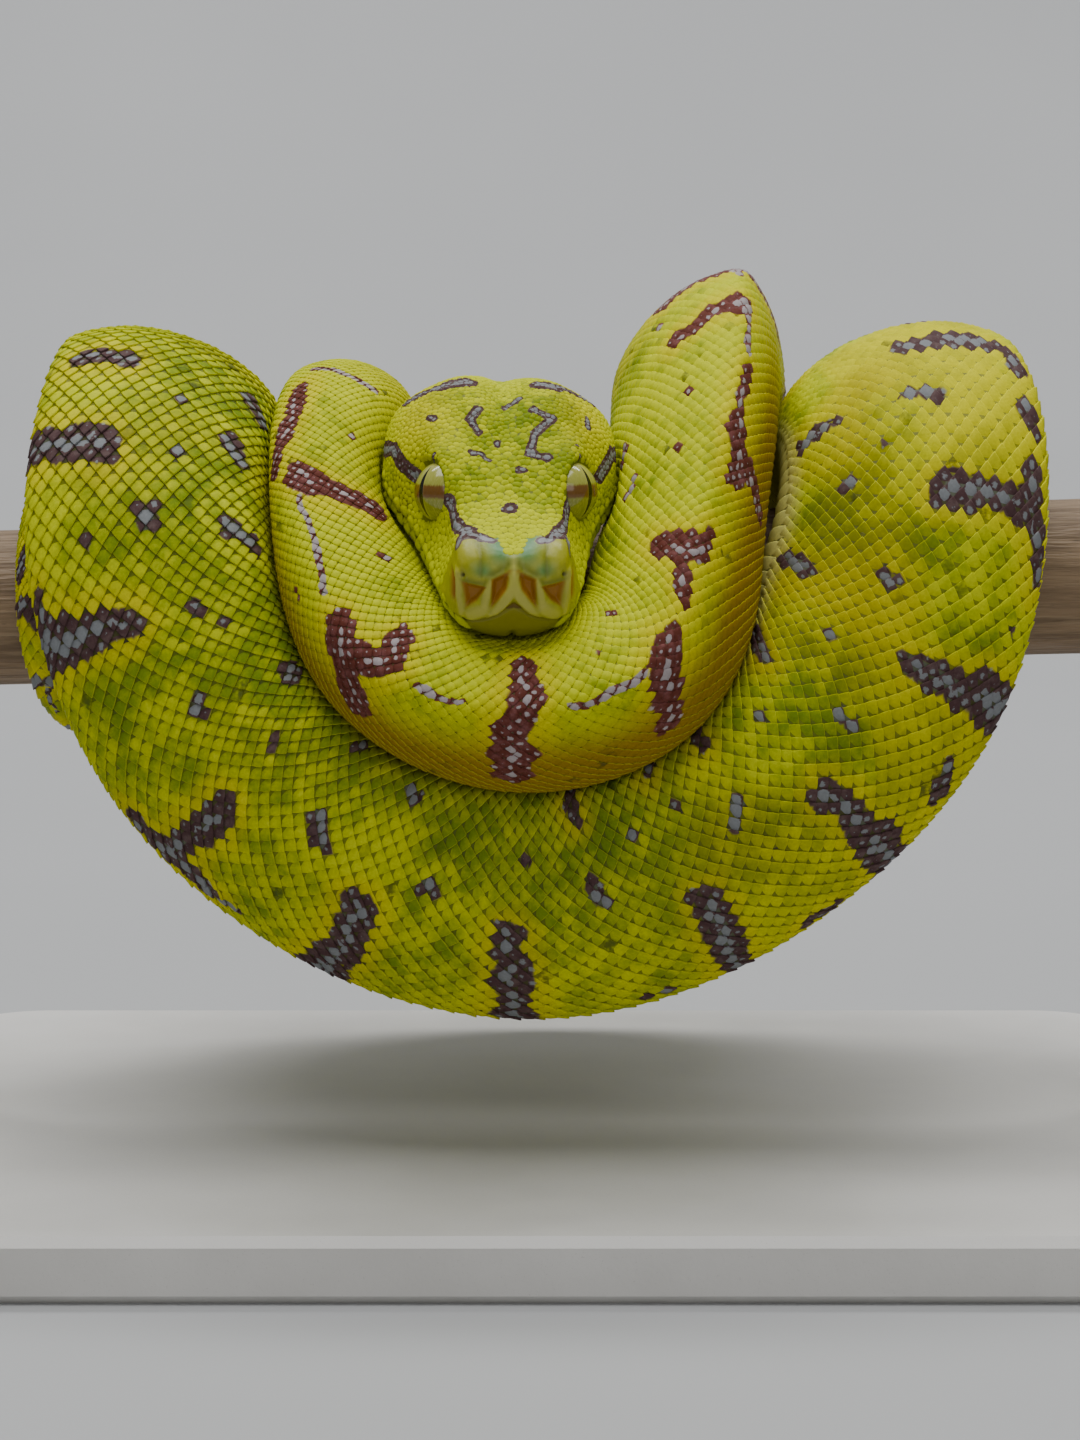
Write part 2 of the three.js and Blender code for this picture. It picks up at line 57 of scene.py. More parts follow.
# The body's line from the snout to the tip of the tail, as in the solids: x along the perch, y away from
# the front, z up, and the roll in degrees of the spine towards the outside of the coil.
LINE = np.array([
    # head, from the snout
    (-2.7, -38.0, 1.0, 6), (-3.4, -28.0, 7.4, 6), (-4.4, -16.0, 14.4, 5), (-4.9, -4.5, 17.8, 2),
    # neck, over the perch and back round to the left
    (-5.2, 7.5, 17.0, 0), (-5.7, 17.3, 11.5, 5), (-8.2, 21.5, 8.2, 12), (-14.2, 23.5, 6.7, 20),
    (-20.0, 21.2, 8.6, 22), (-22.4, 16.3, 12.4, 27), (-22.2, 6.5, 18.6, 36),
    # inner coil, in front
    (-22.2, -6.0, 17.7, 50), (-21.6, -18.0, 8.2, 34), (-16.6, -26.4, -3.6, 2), (-2.5, -30.5, -9.2, -20),
    (11.0, -28.0, -5.0, -12), (15.4, -20.5, 6.5, 8), (17.8, -8.0, 19.8, 20), (18.8, 4.5, 24.6, 22),
    # inner coil, behind
    (19.8, 16.0, 18.6, 36), (18.6, 23.2, 4.5, 44), (11.5, 26.5, -11.5, 38), (-9.0, 27.0, -21.0, 30),
    (-33.0, 25.0, -10.0, 45), (-43.0, 16.0, 9.5, 60),
    # outer coil, in front
    (-42.5, 0.0, 19.0, 50), (-41.8, -16.0, 8.0, 65), (-33.7, -20.0, -13.0, 60), (-17.0, -20.5, -26.6, 40),
    (1.0, -20.5, -30.2, 32), (22.2, -20.5, -21.6, 45), (37.6, -18.0, -3.8, 65), (42.0, -10.0, 14.4, 60),
    (41.2, 5.5, 19.3, 50),
    # outer coil, behind
    (38.5, 22.5, 5.5, 55), (31.0, 33.0, -16.5, 50), (10.0, 38.0, -32.0, 35), (-18.0, 37.0, -34.0, 35),
    (-40.0, 31.0, -25.0, 45),
    # tail, once round the perch
    (-49.8, 20.0, -8.0, 40), (-52.2, 11.5, 9.0, 20), (-53.0, -2.0, 13.3, 10), (-54.4, -12.8, 3.0, 10),
    (-53.4, -8.0, -10.8, 10), (-51.0, 4.5, -12.2, 10), (-49.2, 11.8, -3.0, 10),
])

# The head's section: distance from the snout, half width, height above the line and below it, and the
# squareness of its upper and lower halves.
HEAD = np.array([
    (0, 0, 0, 0, 2.2, 2.1), (2, 6.2, 4.6, 4.8, 2.7, 2.2), (4, 6.8, 5.4, 5.6, 2.8, 2.3),
    (8, 7.4, 5.5, 5.9, 2.8, 2.5), (12, 8.2, 5.8, 6.1, 2.8, 2.7), (16, 9.4, 6.8, 6.3, 2.8, 2.8),
    (20, 11.2, 7.9, 6.6, 2.9, 2.8), (24, 12.5, 8.9, 6.9, 3.0, 2.7), (28, 12.7, 9.2, 7.0, 3.0, 2.6),
    (32, 11.4, 8.4, 7.0, 2.7, 2.4), (36, 8.8, 7.0, 6.6, 2.3, 2.2), (40, 6.8, 6.2, 6.3, 2.0, 2.0),
])
# The trunk's section: distance from the snout, half width, height above the line and below it.
TRUNK = np.array([
    (40, 6.8, 6.2, 6.3), (60, 6.3, 6.2, 6.4), (90, 6.8, 7.4, 7.6), (120, 8.7, 8.8, 8.8),
    (150, 9.4, 10.0, 9.6), (173, 9.7, 10.6, 10.2), (197, 9.0, 11.4, 11.0), (220, 9.4, 12.4, 12.0),
    (300, 10.2, 14.0, 13.4), (380, 10.8, 14.4, 15.4), (480, 11.0, 14.5, 16.4), (560, 10.8, 14.4, 15.4),
    (620, 9.3, 12.0, 11.5),
])
# The tail's section, by distance from its tip.
TAIL = np.array([
    (125, 6.7, 7.8, 7.8), (90, 5.5, 6.0, 6.0), (60, 4.6, 4.8, 4.8), (35, 3.8, 3.9, 3.9),
    (14, 2.4, 2.4, 2.4), (4, 1.2, 1.2, 1.2), (0, 0.5, 0.5, 0.5),
])


# ---- Curves ---------------------------------------------------------------------------------------------

def bump(x, width):
    return np.exp(-((x / width) ** 2))


def ramp(x, start, stop):
    return np.clip((x - start) / (stop - start), 0, 1)


def smooth(x, start, stop):
    t = ramp(x, start, stop)
    return t * t * (3 - 2 * t)


def unit(v):
    return v / np.maximum(np.linalg.norm(v, axis=-1, keepdims=True), 1e-9)


def cubic_spline(at, rows, t):
    """A natural cubic spline through rows at rising parameters, read at t."""
    n = len(at)
    h = np.diff(at)
    system = np.zeros((n, n))
    right = np.zeros_like(rows)
    system[0, 0] = system[-1, -1] = 1
    for i in range(1, n - 1):
        system[i, i - 1:i + 2] = h[i - 1], 2 * (h[i - 1] + h[i]), h[i]
        right[i] = 6 * ((rows[i + 1] - rows[i]) / h[i] - (rows[i] - rows[i - 1]) / h[i - 1])
    bend = np.linalg.solve(system, right)
    i = np.clip(np.searchsorted(at, t) - 1, 0, n - 2)
    a = ((at[i + 1] - t) / h[i])[:, None]
    b = 1 - a
    curve = (a ** 3 - a) * bend[i] + (b ** 3 - b) * bend[i + 1]
    return a * rows[i] + b * rows[i + 1] + curve * (h[i] ** 2)[:, None] / 6


def steady_spline(at, rows, t):
    """A smooth curve through rows at rising parameters that never overshoots them, read at t."""
    h = np.diff(at)[:, None]
    slopes = np.diff(rows, axis=0) / h
    before, after = slopes[:-1], slopes[1:]
    product = before * after
    total = np.where(before + after == 0, 1, before + after)
    inner = np.where(product > 0, 2 * product / total, 0)
    slope = np.vstack([slopes[:1], inner, slopes[-1:]])
    t = np.clip(t, at[0], at[-1])
    i = np.clip(np.searchsorted(at, t) - 1, 0, len(at) - 2)
    u = ((t - at[i]) / np.diff(at)[i])[:, None]
    rise = u * u * (3 - 2 * u)
    swing = u * (1 - u) ** 2 * slope[i] - u * u * (1 - u) * slope[i + 1]
    return rows[i] + (rows[i + 1] - rows[i]) * rise + h[i] * swing


# ---- The body's line ------------------------------------------------------------------------------------

def body_line():
    """The line's points and rolls every LINE_STEP, and its length."""
    steps = np.linalg.norm(np.diff(LINE[:, :3], axis=0), axis=1)
    at = np.concatenate([[0], np.cumsum(steps)])
    samples = cubic_spline(at, LINE, np.linspace(0, at[-1], 8001))
    run = np.concatenate([[0], np.cumsum(np.linalg.norm(np.diff(samples[:, :3], axis=0), axis=1))])
    s = np.arange(0, run[-1], LINE_STEP)
    return np.stack([np.interp(s, run, samples[:, k]) for k in range(4)], axis=1), run[-1]


LINE_ROWS, LENGTH = body_line()


def frames(s):
    """Points on the line, and unit vectors along it, towards the spine and to the side, at distances s."""
    at = np.arange(len(LINE_ROWS)) * LINE_STEP
    row = np.stack([np.interp(s, at, LINE_ROWS[:, k]) for k in range(4)], axis=-1)
    ahead = np.gradient(LINE_ROWS[:, :3], axis=0)
    along = unit(np.stack([np.interp(s, at, ahead[:, k]) for k in range(3)], axis=-1))
    point = row[..., :3]
    away = unit(point * (0, 1, 1))
    away = unit(away - along * np.sum(away * along, axis=-1, keepdims=True))
    outward = np.cross(along, away)
    roll = np.radians(row[..., 3:])
    spine = away * np.cos(roll) + outward * np.sin(roll)
    return point, along, spine, np.cross(along, spine)


# ---- The body's sections --------------------------------------------------------------------------------

def profile(s):
    """Half width, height, depth, squareness above and below, widening towards the belly, and ridge."""
    s = np.asarray(s, float)
    tail = TAIL.copy()
    tail[:, 0] = LENGTH - tail[:, 0]
    trunk = np.vstack([TRUNK, tail])
    body = steady_spline(trunk[:, 0], trunk[:, 1:], s.ravel()).reshape(s.shape + (3,))
    head = steady_spline(np.sqrt(HEAD[:, 0]), HEAD[:, 1:], np.sqrt(s.ravel())).reshape(s.shape + (5,))
    on_head = (s < HEAD_PROFILE_END)[..., None]
    size = np.where(on_head, head[..., :3], body)
    square = np.where(on_head, head[..., 3:], 2.0)
    tailward = 1 - ramp(s, LENGTH - 120, LENGTH)
    egg = 0.15 * bump(s - 13, 7) + 0.2 * ramp(s, 40, 150) * tailward
    ridge = 0.8 * ramp(s, 45, 160) * tailward
    return size[..., 0], size[..., 1], size[..., 2], square[..., 0], square[..., 1], egg, ridge


# Swellings of the head, as in the solids: height, distance from the snout and reach along it, angle from
# the spine and reach round the head.
HEAD_SWELLS = [
    (1.15, 27, 6, 0.42, 0.34),      # the lobes of jaw muscle
    (-0.6, 28, 7, 0, 0.14),         # the groove between them
    (0.25, 26, 5, 1.5, 0.5),        # the cheek
    (1.7, 17, 3.8, 0.76, 0.24),     # the brow over each eye
    (0.4, 9, 4.5, 0.85, 0.22),      # the ridge from brow to nostril
    (0.5, 4.5, 2.4, 0.75, 0.28),    # the nostril
    (-0.8, 11, 3.2, 1.3, 0.28),     # the hollow before the eye
    (0.5, 8, 7, 1.85, 0.25),        # the lips
]


def head_swell(s, angle):
    return sum(
        height * bump(s - place, along) * bump(np.abs(angle) - way, around)
        for height, place, along, way, around in HEAD_SWELLS
    )


def section(s, angle):
    """The free section's points, sideways and towards the spine, at angles from the spine."""
    half, up, down, square_up, square_down, egg, ridge = profile(s)
    c, n = np.cos(angle), np.sin(angle)
    power = 2 / np.where(c > 0, square_up, square_down)
    side = half * np.sign(n) * np.abs(n) ** power * (1 - egg * c)
    rise = np.where(c > 0, up, down) * np.sign(c) * np.abs(c) ** power
    signed = (angle + np.pi) % (2 * np.pi) - np.pi
    rise = rise + ridge * bump(signed, 0.3)
    reach = np.maximum(np.hypot(side, rise), 1e-6)
    swell = head_swell(s, np.arctan2(side, rise)) * ramp(s, 0, 3) * (s < HEAD_PROFILE_END)
    return side * (1 + swell / reach), rise * (1 + swell / reach)


# ---- How the coils give way where they press on each other or on the perch -------------------------------

SHARE_STEP = 2.0        # spacing along the body at which dents are worked out
SHARE_SIDES = 48        # and the number of points round it
DENT_SLOPE = 0.045      # a dent's walls are no steeper, as a share of the section per millimetre
DENT_TRIALS = 11        # halvings of the range that each share of the section is sought in
LEAST_SHARE = 0.3
PERCH_ALONG = np.array([math.cos(PERCH_TILT), 0, math.sin(PERCH_TILT)])


def depth_in(points, ring, reach):
    """How far inside each of several rings points are: under 1 is inside, and inf where not beside it."""
    offset = points[None] - ring["point"][:, None]
    rise = np.einsum("rpk,rk->rp", offset, ring["spine"])
    side = np.einsum("rpk,rk->rp", offset, ring["side"])
    tall = np.maximum(np.where(rise > 0, ring["up"], ring["down"]), 0.1)
    wide = np.maximum(ring["half"] * (1 - ring["egg"] * np.clip(rise / tall, -1, 1)), 0.5)
    square = np.where(rise > 0, ring["square_up"], ring["square_down"])
    depth = (np.abs(side / wide) ** square + np.abs(rise / tall) ** square) ** (1 / square)
    swell = np.maximum(0, head_swell(ring["s"], np.arctan2(side, rise))) * (ring["s"] < HEAD_PROFILE_END)
    distance = np.maximum(np.hypot(side, rise), 1e-6)
    beside = np.abs(np.einsum("rpk,rk->rp", offset, ring["along"])) < reach
    return np.where(beside, depth * distance / (distance + swell), np.inf)


def free_shares():
    """The share of its free size that the body keeps, on a grid of distances and angles."""
    s = np.arange(0, LENGTH, SHARE_STEP)
    angle = np.arange(SHARE_SIDES) * 2 * np.pi / SHARE_SIDES
    point, along, spine, side = frames(s)
    half, up, down, square_up, square_down, egg, _ = profile(s)
    girth = np.maximum(half, (up + down) / 2)
    sideways, rise = section(s[:, None], angle[None])
    offset = side[:, None] * sideways[..., None] + spine[:, None] * rise[..., None]
    column = dict(s=s, half=half, up=up, down=down, square_up=square_up, square_down=square_down, egg=egg)
    shares = np.ones((len(s), SHARE_SIDES))
    for i in np.nonzero(s >= HEAD_END)[0]:
        apart = np.abs(s - s[i]) > 1.15 * (girth + girth[i]) + 2
        near = np.linalg.norm(point - point[i], axis=1) < 1.35 * (girth + girth[i]) + 2
        j = np.nonzero(apart & near)[0]
        ring = {name: values[j][:, None] for name, values in column.items()}
        ring.update(point=point[j], along=along[j], spine=spine[j], side=side[j])
        rigid = ring["s"] < HEAD_END
        gap = CONTACT_GAP / (ring["half"] + 0.1)
        inside = np.full(SHARE_SIDES, LEAST_SHARE)
        outside = np.ones(SHARE_SIDES)
        trial = np.ones(SHARE_SIDES)
        for attempt in range(DENT_TRIALS):
            place = point[i] + offset[i] * trial[:, None]
            from_perch = place - PERCH_ALONG * (place @ PERCH_ALONG)[:, None]
            clash = np.linalg.norm(from_perch, axis=1) < PERCH_RADIUS + CONTACT_GAP
            if len(j):
                limit = np.where(rigid, 1.0, trial[None]) + gap
                clash |= np.any(depth_in(place, ring, SHARE_STEP * 0.75) < limit, axis=0)
            if attempt == 0:
                inside = np.where(clash, inside, 1.0)
            outside = np.where(clash, trial, outside)
            inside = np.where(clash, inside, np.maximum(inside, trial))
            trial = (inside + outside) / 2
        shares[i] = inside
    return s, shares


def eased(shares):
    """Dents with their walls eased and their edges rounded."""
    s = np.arange(len(shares)) * SHARE_STEP
    half = profile(s)[0]
    along = DENT_SLOPE * SHARE_STEP
    around = (DENT_SLOPE * 2 * np.pi * half / SHARE_SIDES)[:, None]
    raw = shares.copy()

    def beside(values):
        ahead = np.vstack([values[1:], values[-1:]])
        behind = np.vstack([values[:1], values[:-1]])
        return ahead, behind, np.roll(values, 1, axis=1), np.roll(values, -1, axis=1)

    for _ in range(16):
        ahead, behind, left, right = beside(shares)
        lengthways = np.minimum(ahead, behind) + along
        shares = np.minimum(shares, np.minimum(lengthways, np.minimum(left, right) + around))
    for _ in range(3):
        shares = (2 * shares + sum(beside(shares))) / 6
    return np.minimum(shares, raw)


def read_grid(grid, s_at, s, angle):
    """Values of a (distance, angle) grid, which closes on itself round the body, at s and angle."""
    rows, sides = grid.shape[:2]
    i = np.interp(s, s_at, np.arange(rows))
    k = (angle / (2 * np.pi) % 1) * sides
    i0 = np.minimum(i.astype(int), rows - 2)
    k0 = k.astype(int) % sides
    u, v = i - i0, k - np.floor(k)
    if grid.ndim == 3:
        u, v = u[..., None], v[..., None]
    k1 = (k0 + 1) % sides
    low = grid[i0, k0] * (1 - v) + grid[i0, k1] * v
    high = grid[i0 + 1, k0] * (1 - v) + grid[i0 + 1, k1] * v
    return low * (1 - u) + high * u


# ---- Relief of the head ---------------------------------------------------------------------------------

# The mouth's line across the front of the snout: distance to the side of the middle, and height.
FRONT_MOUTH = np.array([(0, 1.05), (0.7, 0.6), (1.6, -0.4), (3.5, -1.45), (5.4, -2.1)])
MOUTH_CORNER = 27.5
LIP_PITS = 12.6, 2.1    # where the first pit of the lower lip lies, and how far apart they are


def mouth_level(s, side):
    """How high the mouth's line runs, from the body's line towards the spine."""
    along = -2.1 - 0.4 * bump(s - 10, 5) + 1.1 * ramp(s, 12, 27)
    across = np.interp(np.abs(side), FRONT_MOUTH[:, 0], FRONT_MOUTH[:, 1])
    return along + (across - along) * (1 - smooth(s, 4.5, 8))


def to_path(at, path):
    """Distances from points to a path of straight lines, or to its only place."""
    path = np.asarray(path, float)
    nearest = np.linalg.norm(at - path[0], axis=-1)
    for start, end in zip(path[:-1], path[1:]):
        way = end - start
        t = np.clip((at - start) @ way / max(way @ way, 1e-9), 0, 1)
        nearest = np.minimum(nearest, np.linalg.norm(at - start - t[..., None] * way, axis=-1))
    return nearest


def beyond(at, corners):
    """How far points lie outside an outline that bulges everywhere, and less than nothing inside it."""
    corners = np.asarray(corners, float)
    ways = unit(np.roll(corners, -1, axis=0) - corners)
    return np.max([(at - corner) @ (y, -x) for corner, (x, y) in zip(corners, ways)], axis=0)


# The front of the snout, given once for both sides as distances to the side of the middle and above the
# body's line: ridges with their height, half width, softness and path, and the corners of the heat pits.
RIDGES = [
    (0.34, 0.40, 0.45, [(0, 5.2), (0, 3.0)]),
    (0.34, 0.42, 0.50, [(0, 3.0), (1.05, 1.4), (2.3, -0.8)]),
    (0.26, 0.20, 0.50, [(2.5, 3.3), (2.8, 2.0), (3.1, 0.3)]),
    (0.26, 0.16, 0.50, [(5.7, 3.2), (5.75, 1.2), (5.4, -0.9)]),
    (0.34, 0.55, 0.95, [(3.4, 0.1), (4.3, -0.7)]),
]
PITS = [
    [(0.56, 4.25), (0.86, 2.75), (2.28, 0.85), (2.22, 3.55)],
    [(3.05, 2.75), (3.95, 1.25), (4.95, 0.30), (5.25, 2.80)],
    [(6.05, 2.70), (6.20, 0.20), (6.60, 0.20), (6.55, 2.70)],
]
NOSTRIL = (5.3, 3.45, 2.3)      # to the side, up, and back from the tip
# Swells and a groove over the top of the snout: height, half width, and path to the side and back.
TOP_PLATES = [
    (0.38, 1.3, [(1.9, 3.4), (2.9, 6.2)]),
    (0.34, 1.2, [(5.0, 2.6), (5.4, 6.5)]),
    (-0.25, 0.4, [(0, 3.4), (0, 7.5)]),
]
UPPER_SEAM = [(0.5, 4.75), (2.3, 3.95), (3.1, 3.1), (5.4, 3.05)]    # above the pits, in the same two ways
SIDE_SEAM = [(3.5, 1.2), (3.35, 3.2), (3.9, 6.8)]                   # to the side and back, over the snout


def snout_places(s, side, rise):
    """Places on the front of the snout, seen from in front and from above, their distance from the nostril,
    how high the mouth's line is there, and a weight that ends with the front."""
    way = np.abs(side)
    nostril = np.linalg.norm(np.stack([way, rise, s], axis=-1) - NOSTRIL, axis=-1)
    seen = np.stack([way, rise], axis=-1), np.stack([way, s], axis=-1)
    return (*seen, nostril, mouth_level(s, side), 1 - smooth(s, 4.0, 5.4))


def snout_front(s, side, rise):
    """Where the large smooth plates of the snout's tip and the chin are, from 0 to 1."""
    limit = 3.6 + 2.8 * smooth(np.abs(side), 0.5, 1.4)
    above = (1 - smooth(s, limit - 0.6, limit + 0.6)) * smooth(rise, -2.2, -1.0)
    return np.maximum(above, (1 - smooth(s, 3.6, 5.4)) * (rise < 0))


def plate_seams(s, side, rise):
    """The shallow grooves between the plates of the snout."""
    above = bump(to_path(np.stack([np.abs(side), rise], axis=-1), UPPER_SEAM), 0.3) * (s < 4.5)
    over = bump(to_path(np.stack([np.abs(side), s], axis=-1), SIDE_SEAM), 0.3) * smooth(rise, 3.0, 4.0)
    return np.maximum(above, over) * (s < 8)


def head_relief(s, side, rise):
    """Finer shape than the solids': the mouth, the pits and ridges of the snout, the plates round the
    nostrils, the chin's groove and the pits along the lower lip."""
    at, plates, nostril, level, front = snout_places(s, side, rise)
    raised = np.max([
        height * (1 - smooth(to_path(at, path), half, half + soft)) for height, half, soft, path in RIDGES
    ], axis=0)
    total = raised * front * smooth(rise - level, 0, 0.3)
    for corners in PITS:
        total -= 0.62 * (1 - smooth(beyond(at, corners), -0.35, 0.22)) * front
    total -= 0.16 * plate_seams(s, side, rise)
    for height, half, path in TOP_PLATES:
        total += height * bump(to_path(plates, path), half) * smooth(rise, 3.2, 4.6)
    total += 0.22 * bump(nostril, 1.3) - 0.4 * bump(nostril, 0.3)
    gap = np.abs(rise - level) * (1 - 0.3 * front)
    on_mouth = 1 - smooth(s, MOUTH_CORNER - 1.5, MOUTH_CORNER)
    total -= (0.34 + 0.28 * smooth(s, 2, 9)) * bump(gap, 0.24) * on_mouth
    total += 0.14 * bump(gap - 0.9, 0.6) * on_mouth * (1 - front)
    total -= 0.22 * smooth(level - rise, 0, 0.4) * smooth(rise, -3.2, -1.2) * front
    total -= 0.4 * bump(side, 0.32) * smooth(-rise, 2.6, 3.6) * (1 - smooth(s, 9, 12))
    first, pitch = LIP_PITS
    pits = np.abs((s - first) / pitch - np.round((s - first) / pitch)) * pitch
    along_lip = smooth(s, 10.8, 12) * (1 - smooth(s, 23, 24.5))
    total -= 0.5 * bump(pits, 0.62) * bump(rise - level + 1.7, 0.55) * along_lip
    return total


# ---- The body's surface, as a fine grid -----------------------------------------------------------------

GRID_SIDES = 176
HEAD_ROWS = 182          # closest at the snout
OPENING = 0.50           # the bare part of each eyeball, as the cosine of half its angle


class Surface:
    """The body's surface as a grid of points and outward normals over distance and angle. It lies below
    the tops of the scales by their depth."""

    def __init__(self):
        head = np.linspace(0.05, math.sqrt(HEAD_PROFILE_END), HEAD_ROWS) ** 2
        body = np.arange(HEAD_PROFILE_END + LINE_STEP, LENGTH - 0.05, LINE_STEP)
        self.s = np.concatenate([head, body])
        self.angle = np.arange(GRID_SIDES) * 2 * np.pi / GRID_SIDES
        s, angle = np.meshgrid(self.s, self.angle, indexing="ij")
        share_s, shares = free_shares()
        keep = read_grid(eased(shares), share_s, s, angle)
        keep = 1 - (1 - keep) * smooth(s, HEAD_END - 1, HEAD_END + 4)
        line, _, spine, side = frames(self.s)
        sideways, rise = section(s, angle)
        self.sideways, self.rise = sideways * keep, rise * keep
        self.line = line[:, None]
        across = side[:, None] * self.sideways[..., None]
        self.points = self.line + across + spine[:, None] * self.rise[..., None]
        self.normals = self.outward()
        relief = head_relief(s, self.sideways, self.rise) * (s < HEAD_PROFILE_END)
        self.points = self.points + self.normals * (relief - SCALE_DEPTH)[..., None]
        self.round_the_eyes()
        self.normals = self.outward()
        step = np.linalg.norm(np.roll(self.points, -1, axis=1) - self.points, axis=-1)
        run = np.concatenate([np.zeros((len(step), 1)), np.cumsum(step, axis=1)], axis=1)
        self.girth = run[:, -1]
        even = np.linspace(0, 1, GRID_SIDES + 1)
        closed = np.append(self.angle, 2 * np.pi)
        self.angle_at = np.array([np.interp(even, r / r[-1], closed) for r in run])
        self.share_at = run[:, :-1] / self.girth[:, None]

    def outward(self):
        ahead = np.gradient(self.points, axis=0)
        around = np.roll(self.points, -1, axis=1) - np.roll(self.points, 1, axis=1)
        normals = unit(np.cross(ahead, around))
        facing = np.sum(normals * (self.points - self.line), axis=-1)
        return normals * np.sign(np.median(facing))

    def round_the_eyes(self):
        """The skin passes under each eyeball where it is bare, and over it as lids round that."""
        for ball, way in eyes():
            distance, facing = seen_from(ball, way, self.points)
            bare = smooth(facing, OPENING - 0.03, OPENING + 0.03)
            lid = EYE["radius"] + 0.06 + 0.2 * bump(facing - OPENING + 0.16, 0.16)
            over, under = np.maximum(distance, lid), np.minimum(distance, EYE["radius"] - 0.8)
            near = 1 - smooth(distance, EYE["radius"] + 0.9, EYE["radius"] + 2.4)
            reach = distance + (over + (under - over) * bare - distance) * near
            self.points = ball + (self.points - ball) * (reach / distance)[..., None]

    def angles(self, s, share):
        """The angle that stands at a share of the girth from the spine."""
        row = np.interp(s, self.s, np.arange(len(self.s)))
        low = np.minimum(row.astype(int), len(self.s) - 2)
        turn = np.floor(share)
        column = (share - turn) * GRID_SIDES
        k = np.minimum(column.astype(int), GRID_SIDES - 1)
        u, v = row - low, column - k
        first = self.angle_at[low, k] * (1 - v) + self.angle_at[low, k + 1] * v
        second = self.angle_at[low + 1, k] * (1 - v) + self.angle_at[low + 1, k + 1] * v
        return first * (1 - u) + second * u + turn * 2 * np.pi

    def girths(self, s):
        return np.interp(s, self.s, self.girth)

    def at(self, s, angle):
        """Points and outward normals."""
        points = read_grid(self.points, self.s, s, angle)
        return points, unit(read_grid(self.normals, self.s, s, angle))

    def offsets(self, s, angle):
        """How far to the side and towards the spine the body's free section lies."""
        return read_grid(self.sideways, self.s, s, angle), read_grid(self.rise, self.s, s, angle)

    def on_head(self, s, side):
        """The point on top of the head at a distance from the snout and to the side."""
        row = np.abs(self.s - s).argmin()
        miss = np.abs(self.sideways[row] - side) + 100.0 * (self.rise[row] < 0)
        return self.points[row, miss.argmin()]


def eyes():
    """The centre of each eyeball, and the way that its bare part faces."""
    point, _, spine, side = frames(np.array([EYE["s"]]))
    centres = [(point + sign * EYE["side"] * side + EYE["up"] * spine)[0] for sign in (1, -1)]
    return [(centre, unit(np.array([sign * 0.90, -0.44, 0.06]))) for centre, sign in zip(centres, (1, -1))]


def seen_from(ball, way, points):
    """How far points are from an eyeball's centre, and the cosine of their angle from its way."""
    offset = points - ball
    distance = np.linalg.norm(offset, axis=-1)
    return distance, offset @ way / distance


surface = Surface()


# ---- Markings -------------------------------------------------------------------------------------------

def noise(points, size, seed):
    """Smooth noise from 0 to 1 with features of a size, at points."""
    place = np.asarray(points, float) / size
    cell = np.floor(place).astype(np.int64)
    f = place - cell
    f = f * f * (3 - 2 * f)
    total = np.zeros(place.shape[:-1])
    for corner in np.ndindex((2,) * place.shape[-1]):
        code = np.full(total.shape, seed * 7919 + 13, np.int64)
        weight = np.ones(total.shape)
        for axis, step in enumerate(corner):
            code = (code + (cell[..., axis] + step) * (374761393, 668265263, 974711)[axis]) & 0xFFFFFFFF
            code = ((code ^ (code >> 13)) * 1274126177) & 0xFFFFFFFF
            weight = weight * (f[..., axis] if step else 1 - f[..., axis])
        total += weight * ((code ^ (code >> 16)) & 0xFFFF) / 0xFFFF
    return total


